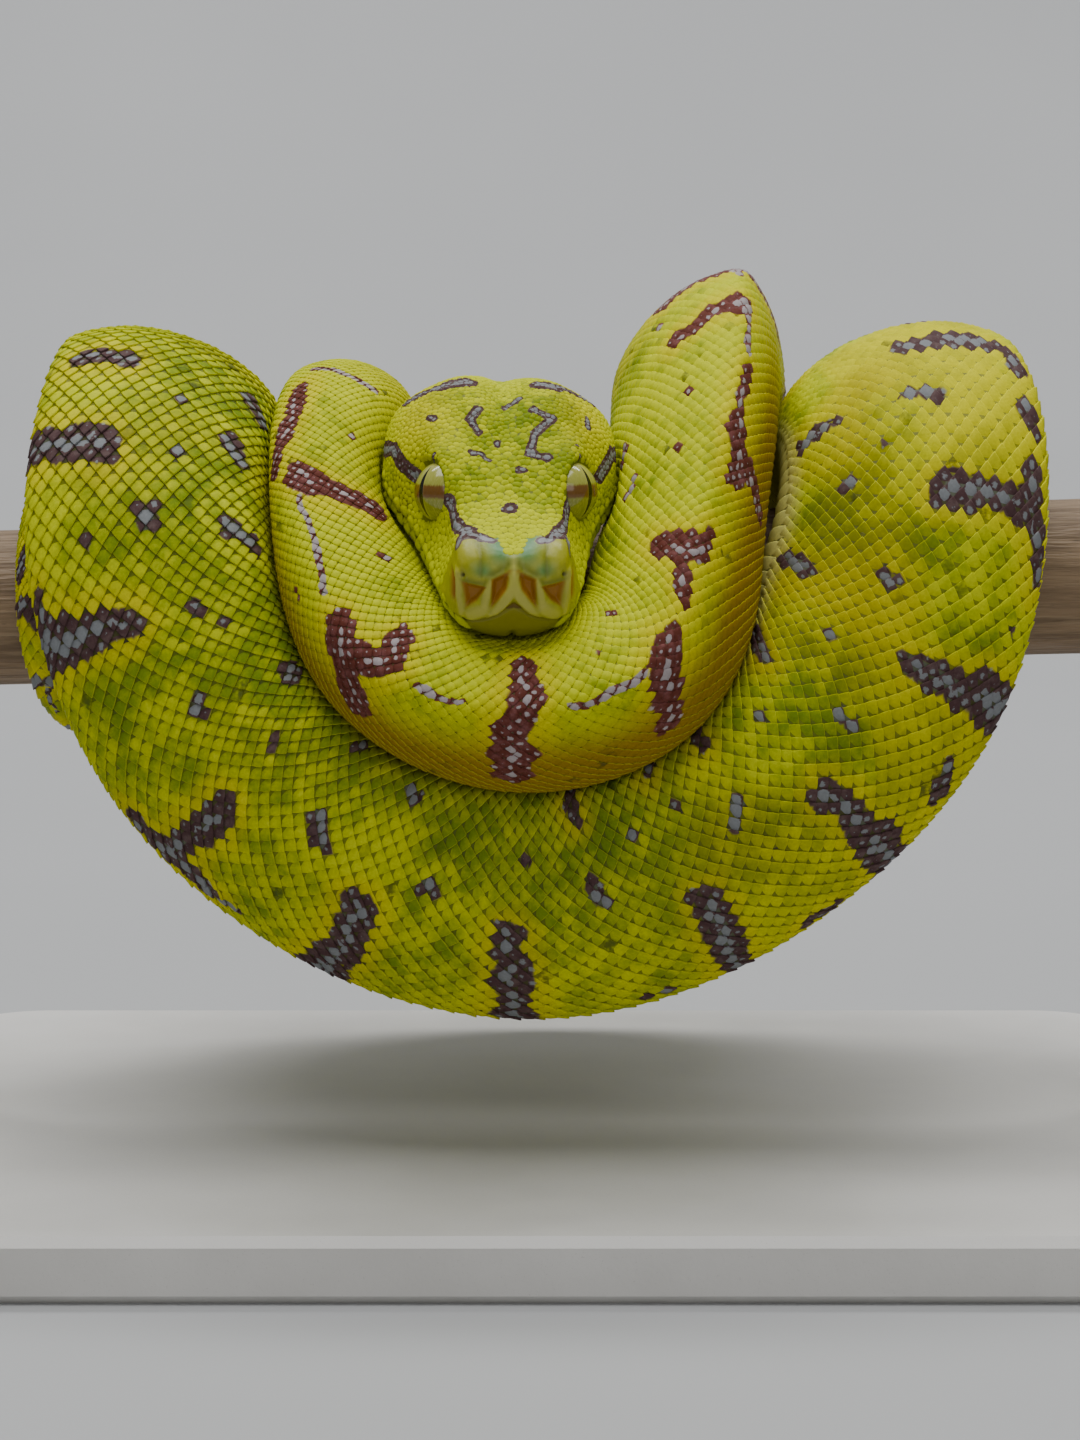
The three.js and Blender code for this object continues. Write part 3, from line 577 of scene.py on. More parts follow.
# Markings of the body that the front shows: half width in millimetres, and a path of distances from the
# snout and round from the spine. Bars are brown with pale flecks, and spots are pale with a dark rim.
BARS = [
    # inner coil
    (0.6, [(109, -3), (111, -7), (113.5, -11)]), (0.8, [(112.5, -3), (117, -2.2), (121, -0.2), (124, 1.3)]),
    (1.2, [(125.5, -1.5), (128, -4.5), (129.8, -9.5)]), (0.5, [(128, -1.7), (134, -1.2), (139, -0.8)]),
    (1.4, [(142.5, -0.5), (144.5, 2), (146.5, 5.5)]), (1.3, [(144.5, 0.5), (147.5, -1.2), (147.5, -4.5)]),
    (0.45, [(151, -0.7), (155.3, -0.3)]), (1.1, [(160, -5.5), (160.2, -2)]), (1.5, [(160.3, -2), (159.5, 1)]),
    (1.55, [(159.2, 1.5), (159, 9)]), (0.5, [(170.5, -0.2), (167.5, -0.4), (164.3, 0)]),
    (1.45, [(173.2, -0.5), (172, 1), (171.5, 4)]), (1.1, [(171.5, 4), (170.5, 7.5)]),
    (1.8, [(182.8, -3), (182.2, -1)]), (1.2, [(182.2, -1), (182.5, 1)]), (0.7, [(182.5, 1), (184.8, 2)]),
    (0.95, [(182, -0.5), (177.5, 0.2)]), (0.9, [(203.5, 1.8), (200, 1.2), (197, 1.6)]),
    (1.4, [(197, 1.8), (194.5, 2.5), (192, 2.8)]), (1.2, [(194.5, 3.5), (192.8, 6.5)]),
    (0.8, [(192.8, 6.5), (191.3, 9.5)]), (1.15, [(212, 0.3), (211.3, -2.5)]),
    (0.85, [(211.3, -2.5), (210, -5.5), (208.8, -7.8)]), (0.6, [(212, 0.7), (209, 1), (205.5, 1.5)]),
    (0.55, [(219.5, -1.5), (217, 0.3)]),
    # outer coil
    (0.8, [(369, -3), (368.5, -6), (369.5, -10)]), (1.6, [(376.5, 2), (377.5, -6), (378.5, -9.5)]),
    (2.0, [(391.5, 3), (392, -4)]), (1.2, [(392, -4), (392.3, -12.3)]), (0.8, [(388.5, -1), (391, -1)]),
    (1.3, [(407.5, -2), (411, -3), (415, -3)]), (1.5, [(411, -4), (411.5, -13.5)]),
    (0.5, [(415, -3), (419, -3)]), (1.7, [(426.5, -2), (427.5, -7), (427.3, -14)]),
    (2.1, [(426.5, 3), (426.8, -2)]), (1.45, [(442.6, 1), (442.3, -9), (442, -15)]),
    (1.6, [(461.2, -13.7), (460.8, -9)]), (1.5, [(460.8, -9), (460.8, 1)]),
    (1.5, [(476.3, -15.7), (476.5, -13)]), (1.4, [(476.5, -13), (476.8, -9)]),
    (2.1, [(476.8, -6.5), (476.5, 1)]), (0.8, [(467.5, -2), (470, -1.2)]),
    (1.2, [(490.7, -14.3), (490.9, -11.5)]), (1.5, [(491, -10.5), (491.2, -7)]),
    (2.1, [(491.5, -4.8), (491.3, 1)]), (1.35, [(506.8, -12.5), (507, -9)]),
    (1.15, [(507, -9), (506.9, -5)]), (1.4, [(507.3, -3.5), (506.8, -2.5)]),
    (0.9, [(509.5, -2.2), (507, -2.5)]), (1.0, [(506, -2.2), (503.5, -1.2), (501.8, -0.8)]),
    (0.9, [(515, -2.3), (513, -2)]), (1.4, [(521.8, -14), (521.7, -6)]),
    (0.9, [(522, -5), (521.3, -2.7), (518.5, -1.5)]), (1.2, [(485.3, -4), (483.3, -3.2)]),
    (0.9, [(450.2, -31.5), (450.8, -27)]), (0.9, [(462.5, -32), (462, -28.8)]),
    (1.1, [(469.3, -31.8), (469.3, -28.5)]), (0.9, [(485, -33), (483.5, -31.5), (482.3, -29.8)]),
]
SPOTS = [
    # inner coil
    (0.7, [(137, -8)]), (0.5, [(120.3, -8.5)]), (0.5, [(137, 3)]), (0.55, [(201.5, -5.5)]),
    (0.55, [(194, -5)]), (0.6, [(192.2, -10.3), (190.8, -10.7)]), (0.6, [(198, -14.3), (196, -14.8)]),
    (0.4, [(213.3, -9), (212.7, -10)]), (0.6, [(172, -8)]), (0.4, [(167.5, -4.5)]),
    # outer coil
    (1.6, [(336.5, -8)]), (0.8, [(368.5, -23.5), (371.5, -26.5)]), (0.9, [(376, -22), (378.5, -25)]),
    (1.0, [(386, -23), (388, -26.5)]), (0.8, [(419.5, -20.5), (421, -18.3)]), (1.4, [(384.7, -14.8)]),
    (0.9, [(392.7, -19.2)]), (1.6, [(403.5, -27.5)]), (1.3, [(401.5, -16.5)]), (0.6, [(410, -22.3)]),
    (1.0, [(418.5, -29.5)]), (1.1, [(427.5, -28)]), (1.1, [(433, -18.7)]), (0.7, [(443.5, -22.7)]),
    (0.5, [(386, -8.2)]), (0.5, [(373, -16.5)]), (0.5, [(395.5, -22.5)]), (0.7, [(379.3, -17.5)]),
    (1.0, [(451.3, -19.3), (451.8, -17.5)]), (0.6, [(463, -23.7)]), (0.6, [(457, -23.3)]),
    (0.4, [(447.5, -21.7)]), (0.7, [(468.8, -21), (467.3, -18.7)]), (0.4, [(469, -14)]),
    (0.6, [(476.3, -26)]), (0.7, [(483, -19.8), (482.8, -18.2)]), (0.7, [(489.7, -23.4)]),
    (1.2, [(498, -30.3), (497, -28)]), (0.9, [(497.8, -18)]), (0.35, [(501.5, -21.5)]),
    (0.6, [(497.3, -3)]), (0.5, [(507, -24), (507, -22)]), (0.45, [(510.8, -19)]),
    (1.1, [(514.2, -24.8), (514, -26.5), (513.3, -28.5)]), (0.7, [(514.8, -15.8), (514.6, -12.5)]),
    (0.5, [(455, -2.5), (453, -2.8)]),
]
# Markings of the head, each given as half width and a path of distances from the snout and to the side.
HEAD_MARKS = [
    (0.62, [(28.3, -10.6), (27.6, -6.5)]), (1.15, [(27.6, -6.3), (27.5, -4.0)]),
    (1.1, [(27.5, 3.6), (27.6, 5.6)]), (0.62, [(27.8, 6), (28.5, 9.8)]),
    (0.55, [(23.2, -2.6), (22.0, -4.0), (20.8, -2.8)]), (0.5, [(23.4, 3.0), (22.3, 4.8), (20.6, 3.1)]),
    (0.45, [(20.6, 3.1), (18.4, 2.5), (17.5, 4.4)]), (0.42, [(24.8, 0.2), (25.3, 0.9)]),
    (0.33, [(23.3, -8.5), (23.0, -7.8)]), (0.33, [(24.4, 8.9), (23.0, 9.2)]), (0.2, [(19.2, 7.7)]),
    (0.32, [(19.6, -1.2), (19.3, -0.9)]), (0.26, [(18.4, -3.9), (17.9, -2.8), (17.4, -1.9)]),
    (0.38, [(16.3, 1.2), (16.1, 1.5)]), (0.85, [(11.0, -0.1), (11.0, 0.3)]),
    (0.22, [(18.3, -7.9), (17.0, -8.1)]), (0.22, [(18.1, 7.9), (16.9, 8.1)]),
    # the stripe through each eye
    (0.95, [(27.5, -12.9), (23.5, -12.1), (19.6, -10.4)]), (0.95, [(27.5, 12.9), (23.5, 12.1), (19.6, 10.4)]),
    (0.72, [(13.4, -6.5), (10.2, -6.0), (7.6, -4.8)]), (0.62, [(7.6, -4.8), (6.2, -3.6), (5.4, -2.3)]),
    (1.0, [(7.6, -4.6), (6.7, -4.3)]),
    (0.5, [(7.6, -4.8), (6.2, -5.5), (5.4, -5.7)]),
    (0.72, [(13.4, 6.5), (10.2, 6.1), (8.0, 5.3), (6.6, 4.8)]), (0.5, [(7.4, 5.2), (6.2, 5.8), (5.2, 6.0)]),
    (0.9, [(7.8, 5.1), (6.8, 4.7)]),
    (0.5, [(7.6, 4.7), (5.6, 3.9), (5.1, 2.9)]),
]


HIDDEN_LENGTHS = (46, 100), (220, 362), (532, LENGTH - 14)


def hidden_marks():
    """Bars and spots of the same kind for the lengths and sides that the front doesn't show."""
    draw = np.random.default_rng(11)
    bars, spots = [], []
    for start, stop in HIDDEN_LENGTHS:
        s = start
        while s < stop:
            size = np.interp(s, [40, 150, 600, LENGTH], [0.7, 1.3, 1.8, 0.55])
            girth = surface.girths(s)
            turn = draw.uniform(-1.5, 1.5)
            for sign in (-1, 1):
                end = sign * girth * draw.uniform(0.12, 0.17)
                path = [(s, 0), (s + turn, end * 0.5), (s + turn * 2 + sign, end)]
                bars.append((size * draw.uniform(0.75, 1.1), path))
                if draw.random() < 0.75:
                    spot = s + size * draw.uniform(3, 6), sign * girth * draw.uniform(0.2, 0.34)
                    spots.append((size * draw.uniform(0.5, 0.95), [spot]))
            if draw.random() < 0.5:
                bars.append((size * 0.45, [(s, 0), (s + size * 6, draw.uniform(-1, 1))]))
            s += size * draw.uniform(7.5, 10.5)
    for s in np.arange(372, 530, 16.4):
        girth = surface.girths(s)
        bars.append((draw.uniform(1.3, 1.8), [(s, 3), (s + draw.uniform(-2, 2), girth * 0.16)]))
        spots.append((draw.uniform(0.8, 1.7), [(s + 7, girth * draw.uniform(0.2, 0.33))]))
    for s in np.arange(112, 215, 13.2):
        spots.append((0.8, [(s, draw.choice([-1, 1]) * surface.girths(s) * draw.uniform(0.26, 0.36))]))
    return bars, spots


MORE_BARS, MORE_SPOTS = hidden_marks()
BROWN_BARS_END = 225     # up to here the bars are browner, with finer flecks
RAGGED = 1.1             # how far the edges of the markings stray, in millimetres
HEAD_RAGGED = 0.45
THIN = 0.65              # bars of a smaller half width are greyer and cut across the scales


def body_marks(s, round_way):
    """How strongly a marking of the body covers each place, how strongly a thin one does, how pale its
    middle is, and how golden the ground is round the bars and on the rear of the outer coil."""
    place = np.stack([s, round_way], axis=-1)
    sway = np.stack([noise(place, 1.9, 5), noise(place, 1.9, 6)], axis=-1)
    place = place + RAGGED * (sway - 0.5)
    cover, thin, pale, beside = np.zeros((4, *s.shape))
    marks = [(*bar, 0.0) for bar in BARS + MORE_BARS] + [(*spot, 1.0) for spot in SPOTS + MORE_SPOTS]
    for half, path, is_spot in marks:
        low, high = min(p[0] for p in path) - 5, max(p[0] for p in path) + 5
        near = np.nonzero((s > low) & (s < high))[0]
        distance = to_path(place[near], path)
        is_thin = half < THIN and not is_spot
        edge, soft = (0.55 * half + 0.1, 0.2) if is_thin else (half + 0.1, 0.4 - 0.2 * is_spot)
        kind = thin if is_thin else cover
        kind[near] = np.maximum(kind[near], 1 - smooth(distance, edge - soft, edge + soft))
        if is_spot:
            core = 1 - smooth(distance, 0.4 * half, 0.85 * half)
        elif is_thin:
            core = 0.6 * (1 - smooth(distance, half, half + 0.3))
        else:
            if low < BROWN_BARS_END:
                core = 0.75 * bump(distance, 0.3 * half)
            else:
                core = 1 - smooth(distance, 0.1, 0.5 * half)
            beside[near] = np.maximum(beside[near], 1 - smooth(distance, half + 0.3, half + 2.8))
        pale[near] = np.maximum(pale[near], core)
    golden = smooth(s, 440, 500) * (1 - smooth(s, 545, 590)) * smooth(noise(place, 9.0, 12), 0.36, 0.66)
    return cover, thin, pale, np.maximum(beside, 0.85 * golden)


def head_marks(points):
    """How strongly a marking of the head covers each point, and how pale its middle is there."""
    cover, pale = np.zeros(len(points)), np.zeros(len(points))
    ragged = points + HEAD_RAGGED * (noise(points, 0.8, 8)[:, None] - 0.5)
    for half, path in HEAD_MARKS:
        sites = [surface.on_head(*site) for site in path]
        distance = to_path(ragged, sites) - 0.1
        edge = 0.88 * half
        cover = np.maximum(cover, 1 - smooth(distance, edge - 0.08, edge + 0.12))
        pale = np.maximum(pale, 1 - smooth(distance, 0.15 * half, 0.6 * half))
    return cover, pale


def markings(points, s, share):
    """The cover of the markings and of thin ones at points of head and body, how pale their middles are, and
    how golden the ground is."""
    way = (share + 0.5) % 1 - 0.5
    cover, thin, pale, beside = np.array(body_marks(s, way * surface.girths(s))) * smooth(s, 39, 41)
    near = np.nonzero(s < HEAD_PROFILE_END)[0]
    head_cover, head_pale = head_marks(points[near])
    cover[near] = np.maximum(cover[near], head_cover)
    pale[near] = np.maximum(pale[near], head_pale)
    beside = np.maximum(beside, 0.8 * bump(np.abs(way) - 0.14, 0.055) * bump(s - 24, 6))
    return {"mark": cover, "thin": thin, "pale": pale, "beside": beside}


# How green the back is along the body.
GREENNESS = np.array([
    (0, 0.26), (14, 0.30), (20, 0.46), (34, 0.44), (42, 0.26), (100, 0.22), (126, 0.22), (160, 0.20),
    (200, 0.24), (300, 0.4), (345, 0.42), (375, 0.48), (400, 0.58), (425, 0.58), (450, 0.60), (468, 0.56),
    (485, 0.52), (510, 0.48), (560, 0.5), (640, 0.5), (720, 0.6), (780, 0.8),
])


def paint(points, s, share, own):
    """The colouring of skin or scales at points of the body, at a distance and a share of the girth.
    own is a random number from 0 to 1, the same all over one scale."""
    signed = (share + 0.5) % 1 - 0.5
    way = np.abs(signed)
    rearward = smooth(s, 230, 330)
    patches = 0.40 * noise(points, 8.0, 1) + 0.30 * noise(points, 3.4, 2) + 0.30 * noise(points, 1.5, 3)
    spine = 0.22 * rearward * (1 - smooth(way, 0.03, 0.08))
    green = np.interp(s, GREENNESS[:, 0], GREENNESS[:, 1]) + 1.5 * (patches - 0.5) - spine
    # painted light: the sides of the head are made yellower and less warm, standing in for light that the
    # lamps bring too little of there
    painted_cheek_light = smooth(way, 0.13, 0.20) * (1 - smooth(s, 30, 38))
    green = green + 0.3 * (own - 0.5) - 0.4 * painted_cheek_light
    belly = smooth(way, 0.37, 0.42) * (s > 12)
    dots = smooth(own, 0.95, 0.98) * smooth(noise(points, 6.0, 4), 0.45, 0.65) * (s > 42)
    # painted shade: low darkens the underside of the inner coil to a warm brown where shade falls below it;
    # it is carried under warm together with the real warm patches
    low = 1.6 * smooth(signed, 0.01, 0.13) * smooth(s, 100, 130) * (1 - smooth(s, 200, 225))
    warm = 0.5 * smooth(noise(points, 12.0, 9), 0.42, 0.75) * smooth(way, 0.10, 0.28) * (1 - 0.8 * painted_cheek_light)
    return {
        "green": np.clip(green, 0, 1) * (1 - 0.8 * belly),
        "dot": dots * (1 - belly),
        "belly": belly,
        "warm": np.maximum(warm, low),
        "own": own,
        "outer": np.maximum(rearward, 0.9 * (1 - smooth(s, 34, 42))),
    }


# ---- Meshes ---------------------------------------------------------------------------------------------

def place(points):
    """Points about the perch, in millimetres, as metres in the model's own frame."""
    return (np.asarray(points) + (0, 0, PERCH_HEIGHT)) * MM


def new_object(name, points, faces, values=None, uv=None):
    """A smooth object from points in metres and a list of arrays of faces, with numbers at its points."""
    mesh = bpy.data.meshes.new(name)
    mesh.vertices.add(len(points))
    mesh.vertices.foreach_set("co", np.asarray(points, np.float32).ravel())
    corners = np.concatenate([f.ravel() for f in faces]).astype(np.int32)
    sizes = np.concatenate([np.full(len(f), f.shape[1]) for f in faces])
    mesh.loops.add(len(corners))
    mesh.loops.foreach_set("vertex_index", corners)
    mesh.polygons.add(len(sizes))
    mesh.polygons.foreach_set("loop_start", np.concatenate([[0], np.cumsum(sizes)[:-1]]).astype(np.int32))
    mesh.update(calc_edges=True)
    mesh.polygons.foreach_set("use_smooth", np.ones(len(sizes), bool))
    for label, numbers in (values or {}).items():
        layer = mesh.attributes.new(label, "FLOAT", "POINT")
        layer.data.foreach_set("value", np.asarray(numbers, np.float32))
    if uv is not None:
        layer = mesh.uv_layers.new(name="OFBake", do_init=False)
        layer.uv.foreach_set("vector", np.asarray(uv, np.float32)[corners].ravel())
    obj = bpy.data.objects.new(name, mesh)
    bpy.context.scene.collection.objects.link(obj)
    return obj


def strip_faces(rings, sides, closed=True):
    """The quads between rings of points that lie one after another."""
    i = np.arange(rings - 1)[:, None] * sides
    k = np.arange(sides if closed else sides - 1)[None]
    after = (k + 1) % sides
    return np.stack([i + k, i + sides + k, i + sides + after, i + after], axis=-1).reshape(-1, 4)


def fan(hub, first, sides, turned=False):
    """The triangles between one point and a ring of points."""
    k = np.arange(sides)
    pair = [first + k, first + (k + 1) % sides]
    return np.stack([np.full(sides, hub)] + (pair[::-1] if turned else pair), 1)


def dome_faces(sides):
    """The faces of one scale's top: a point, a shoulder ring and a rim ring."""
    k = np.arange(sides)
    after = (k + 1) % sides
    return [fan(0, 1, sides), np.stack([1 + k, 1 + sides + k, 1 + sides + after, 1 + after], 1)]


def repeated(faces, count, each):
    """One scale's faces for a number of scales of so many points each."""
    base = (np.arange(count) * each)[:, None, None]
    return [(f[None] + base).reshape(-1, f.shape[1]) for f in faces]


def on_map(share):
    """A share of the map's side, inside its margins."""
    return 0.02 + 0.96 * share


def outward_like(obj, normal):
    """Turns the faces over if the first one looks against normal."""
    if obj.data.polygons[0].normal.dot(Vector(normal)) < 0:
        obj.data.flip_normals()
    return obj


def count_thin_marks(look):
    """Counts the thin markings among the rest."""
    look["mark"] = np.maximum(look["mark"], look.pop("thin"))


# ---- Skin -----------------------------------------------------------------------------------------------

SKIN_STEP = 2.0          # between rows of the skin, behind the head
TIP_CUT = 0.6            # how far before the end of the line the last row lies


def make_skin():
    """One closed skin from the snout to the tip of the tail."""
    end = LENGTH - TIP_CUT
    rows = np.concatenate([surface.s[surface.s <= 44], np.arange(45, end, SKIN_STEP), [end]])
    s, angle = (grid.ravel() for grid in np.meshgrid(rows, surface.angle, indexing="ij"))
    points, _ = surface.at(s, angle)
    share = read_grid(surface.share_at, surface.s, s, angle)
    side, rise = surface.offsets(s, angle)
    # the middles of the first and last rings close the skin
    middle, behind = points[:GRID_SIDES].mean(0), points[GRID_SIDES:2 * GRID_SIDES].mean(0)
    points = np.vstack([points, middle + 0.5 * (middle - behind), points[-GRID_SIDES:].mean(0)])
    s = np.append(s, [0.0, LENGTH])
    share, side, rise = (np.append(v, [0.0, 0.0]) for v in (share, side, rise))
    look = paint(points, s, share, np.full(len(s), 0.5))
    look.update(markings(points, s, share))
    look.update(head_look(s, side, rise))
    count_thin_marks(look)
    look["rim"] = np.where(s < HEAD_END, 1 - look["smooth"], 1.0)
    last = (len(rows) - 1) * GRID_SIDES
    snout, tip = len(points) - 2, len(points) - 1
    faces = [
        strip_faces(len(rows), GRID_SIDES),
        fan(snout, 0, GRID_SIDES),
        fan(tip, last, GRID_SIDES, turned=True),
    ]
    return outward_like(new_object("snake_skin", place(points), faces, look), surface.normals[0, 0])


# Teal patches on the plates of the snout: how far they reach, round paths of distances to the side and
# back.
TEAL = [(1.3, [(1.3, 3.6), (1.8, 5.4)]), (1.0, [(3.3, 1.5)])]


def head_look(s, side, rise):
    """Where the snout is smooth, where its pits, ridges, teal patches and nostrils are, where the lower
    jaw shows in front, and where the mouth's line runs; jaw, nostrils, mouth's line and notch get painted
    shade."""
    at, plates, nostril, level, front = snout_places(s, side, rise)
    pit = np.max([1 - smooth(beyond(at, corners), -0.05, 0.22) for corners in PITS], axis=0)
    ridge = np.max([
        1 - smooth(to_path(at, path), half * 0.5, half + 0.4) for _, half, _, path in RIDGES
    ], axis=0) * smooth(rise - level, -0.05, 0.3)
    teal = np.max([bump(to_path(plates, path), reach) for reach, path in TEAL], axis=0)
    # painted shade in the notch at the tip of the upper lip, and below along the mouth's crease
    notch = 1 - smooth(np.hypot(side, 3.2 * (rise - 0.85 + 0.45 * np.abs(side))), 0.8, 1.25)
    mouth_shade = bump(rise - level, 0.26) * (1 - smooth(s, 25.5, 27)) * (0.45 + 0.55 * smooth(s, 2, 8))
    return {
        "smooth": snout_front(s, side, rise),
        "groove": plate_seams(s, side, rise),
        "pit": pit * front,
        "ridge": ridge * front,
        "teal": teal * smooth(rise, 3.4, 4.4) * (s < 9),
        # the lower jaw in front, which the skin's colour darkens as painted shade below the mouth's line
        "jaw": smooth(level - rise, -0.05, 0.3) * front,
        "mouth_shade": np.maximum(mouth_shade, notch * (s < 3)) * (s < 28),
        # painted shade: a dark spot in each nostril's opening
        "nostril": 1 - smooth(nostril, 0.12, 0.32),
    }


# ---- Scales of the body ---------------------------------------------------------------------------------

SCALE_ROWS = 68          # of small scales across the body
ROWS_BY_LENGTH = [(84, 54), (640, SCALE_ROWS), (690, 50), (735, 34), (758, 20), (900, 12)]
BACK_SHARE = 0.415       # how far round from the spine they reach, as a share of the girth
OUTLINE = 8
SHOULDER = 0.88          # where a scale's flat top ends, as a share of its half size
PATCH = 0.0015           # half of the width of each scale's patch on the map


def scale_rows():
    """Distances of the half rows of scales, the number of scales across each, and the half pitch."""
    rows = []
    s = HEAD_END + 1.0
    while s < LENGTH - 4:
        across = next(count for limit, count in ROWS_BY_LENGTH if s < limit)
        step = 0.86 * 2 * BACK_SHARE * surface.girths(s) / across
        rows.append((s, across, step))
        s += step
    return rows


def lay_scales(rows, start, stop, draw):
    """Roots of the scales between two distances: distance, share of the girth, and half sizes."""
    found = []
    for number, (s, across, step) in enumerate(rows):
        if start <= s < stop:
            column = np.arange(number % 2, across, 2)
            share = -BACK_SHARE + 2 * BACK_SHARE * (column + 0.5) / across
            wide = np.full(len(column), 2 * BACK_SHARE / across)
            found.append(np.stack([np.full(len(column), s), share, np.full(len(column), step), wide], 1))
    laid = np.concatenate(found)
    laid[:, 0] += laid[:, 2] * draw.uniform(-0.05, 0.05, len(laid))
    laid[:, 1] += laid[:, 3] * draw.uniform(-0.04, 0.04, len(laid))
    return laid


def scale_coat(name, rows, start, stop, seed):
    """A stretch of overlapping scales, each tilted, sunk in front and free behind. They are rounder and
    puffier on the thin front part of the body, and flat square tiles further back."""
    places = [40, 225, 320]
    squareness = np.interp(start, places, [1.4, 1.3, 1.1])     # 1 is a diamond and 2 an ellipse
    dome = np.interp(start, places, [0.11, 0.09, 0.02])
    tilt = np.interp(start, places, [0.17, 0.20, 0.27])
    draw = np.random.default_rng(seed)
    laid = lay_scales(rows, start, stop, draw)
    count = len(laid)
    own = draw.random(count)
    turn = np.arange(OUTLINE) * 2 * np.pi / OUTLINE
    long = np.sign(np.cos(turn)) * np.abs(np.cos(turn)) ** (2 / squareness)
    wide = np.sign(np.sin(turn)) * np.abs(np.sin(turn)) ** (2 / squareness)
    rear = np.nonzero(long > -0.01)[0]
    rear = np.array(sorted(rear, key=lambda k: (turn[k] + np.pi) % (2 * np.pi)))
    # centre, shoulder ring, rim ring and the rear's underside
    size = np.concatenate([[0], np.full(OUTLINE, SHOULDER), np.ones(OUTLINE), np.full(len(rear), 0.95)])
    a = np.concatenate([[0], long, long, long[rear]]) * size
    b = np.concatenate([[0], wide, wide, wide[rear]]) * size
    lift = np.concatenate([
        [0.10 + dome], 0.10 + tilt * SHOULDER * long, 0.06 - dome / 2 + tilt * long,
        np.full(len(rear), -0.08),
    ])
    reach_front = draw.uniform(0.97, 1.03, count)
    reach_rear = 1.12 * draw.uniform(0.95, 1.05, count)
    reach = np.where(a[None] < 0, reach_front[:, None], reach_rear[:, None])
    s = laid[:, 0, None] + a[None] * reach * laid[:, 2, None]
    spread = draw.uniform(0.97, 1.03, count)
    share = laid[:, 1, None] + b[None] * spread[:, None] * laid[:, 3, None]
    s = np.clip(s, HEAD_END - 0.5, LENGTH - 0.7)
    points, normals = surface.at(s.ravel(), surface.angles(s.ravel(), share.ravel()))
    thick = np.clip(laid[:, 2] / 0.9, 0.45, 1.0)[:, None] * draw.uniform(0.85, 1.12, (count, 1))
    points = points + normals * (lift[None] * thick).ravel()[:, None]
    roots, _ = surface.at(laid[:, 0], surface.angles(laid[:, 0], laid[:, 1]))
    look = paint(points, s.ravel(), share.ravel(), np.repeat(own, len(a)))
    at_root = markings(roots, laid[:, 0], laid[:, 1])
    for label, here in markings(points, s.ravel(), share.ravel()).items():
        look[label] = 0.5 * here + 0.5 * np.repeat(at_root[label], len(a)) if label != "thin" else here
    count_thin_marks(look)
    look["rim"] = np.tile(size, count)
    look["rear"] = np.tile(a, count)
    look["flank"] = np.tile(b, count)
    u = on_map((laid[:, 1, None] + BACK_SHARE) / (2 * BACK_SHARE)) + PATCH * b[None]
    v = on_map((laid[:, 0, None] - start) / (stop - start)) + PATCH * a[None]
    j = np.arange(len(rear) - 1)
    rim, under = 1 + OUTLINE + rear, 1 + 2 * OUTLINE
    skirt = np.stack([rim[j], under + j, under + j + 1, rim[j + 1]], 1)
    faces = repeated(dome_faces(OUTLINE) + [skirt], count, len(a))
    coat = new_object(name, place(points), faces, look, np.stack([u.ravel(), v.ravel()], 1))
    return outward_like(coat, normals[0])


def belly_plates(rows):
    """The wide plates along the belly, one to each whole row of scales."""
    draw = np.random.default_rng(31)
    picked = [(s, 1.5 * step) for s, _, step in rows[::3]]
    across = np.linspace(-1, 1, 11)
    along = np.array([-1.0, -0.4, 0.35, 0.8, 1.0, 0.97])
    lift = np.array([-0.06, 0.10, 0.17, 0.17, 0.11, -0.06])
    half = 0.5 - BACK_SHARE + 0.009
    s0 = np.array([p[0] for p in picked])[:, None, None]
    step = np.array([p[1] for p in picked])[:, None, None]
    corner = 1 - 0.1 * np.abs(across[None, None]) ** 6
    reach = np.where(along > 0, 1.22, 0.95)[None, :, None]
    s = np.clip(s0 + along[None, :, None] * reach * step * corner, HEAD_END, LENGTH - 0.7)
    share = 0.5 + across[None, None] * half * (1 - 0.06 * np.abs(along[None, :, None]) ** 4)
    s, share = np.broadcast_arrays(s, share)
    points, normals = surface.at(s.ravel(), surface.angles(s.ravel(), share.ravel()))
    edge = 1 - np.abs(across) ** 8
    thick = np.clip(step / 1.2, 0.4, 1) * draw.uniform(0.9, 1.1, (len(picked), 1, 1))
    height = lift[None, :, None] * edge[None, None] * thick
    points = points + normals * height.ravel()[:, None]
    count = len(picked)
    each = len(along) * len(across)
    roots = np.array([p[0] for p in picked])
    centre, _ = surface.at(roots, surface.angles(roots, np.full(count, 0.5)))
    look = paint(centre, roots, np.full(count, 0.5), draw.random(count))
    look.update(mark=np.zeros(count), pale=np.zeros(count), beside=np.zeros(count))
    look = {label: np.repeat(v, each) for label, v in look.items()}
    look["rear"] = np.broadcast_to(along[None, :, None], s.shape).ravel()
    look["flank"] = np.broadcast_to(across[None, None], s.shape).ravel()
    look["rim"] = np.broadcast_to(np.abs(along[None, :, None]) ** 4, s.shape).ravel()
    line = on_map((s0 - HEAD_END) / (LENGTH - HEAD_END))
    v = np.broadcast_to(line + PATCH * along[None, :, None], s.shape).ravel()
    u = np.broadcast_to(0.5 + PATCH * across[None, None], s.shape).ravel()
    # the plates stand in five columns of the map, so that their patches lie apart
    u = u + 0.19 * (np.repeat(np.arange(count), each) % 5 - 2)
    faces = repeated([strip_faces(len(along), len(across), closed=False)], count, each)
    coat = new_object("belly_scales", place(points), faces, look, np.stack([u, v], 1))
    return outward_like(coat, normals[0])


# ---- Scales of the head ---------------------------------------------------------------------------------

RAYS = 10                # corners of a scale
SEED_TRIES = 90000
LIP_SCALE = 1.4          # size of the scales along the lips
NEIGHBOURS = 14


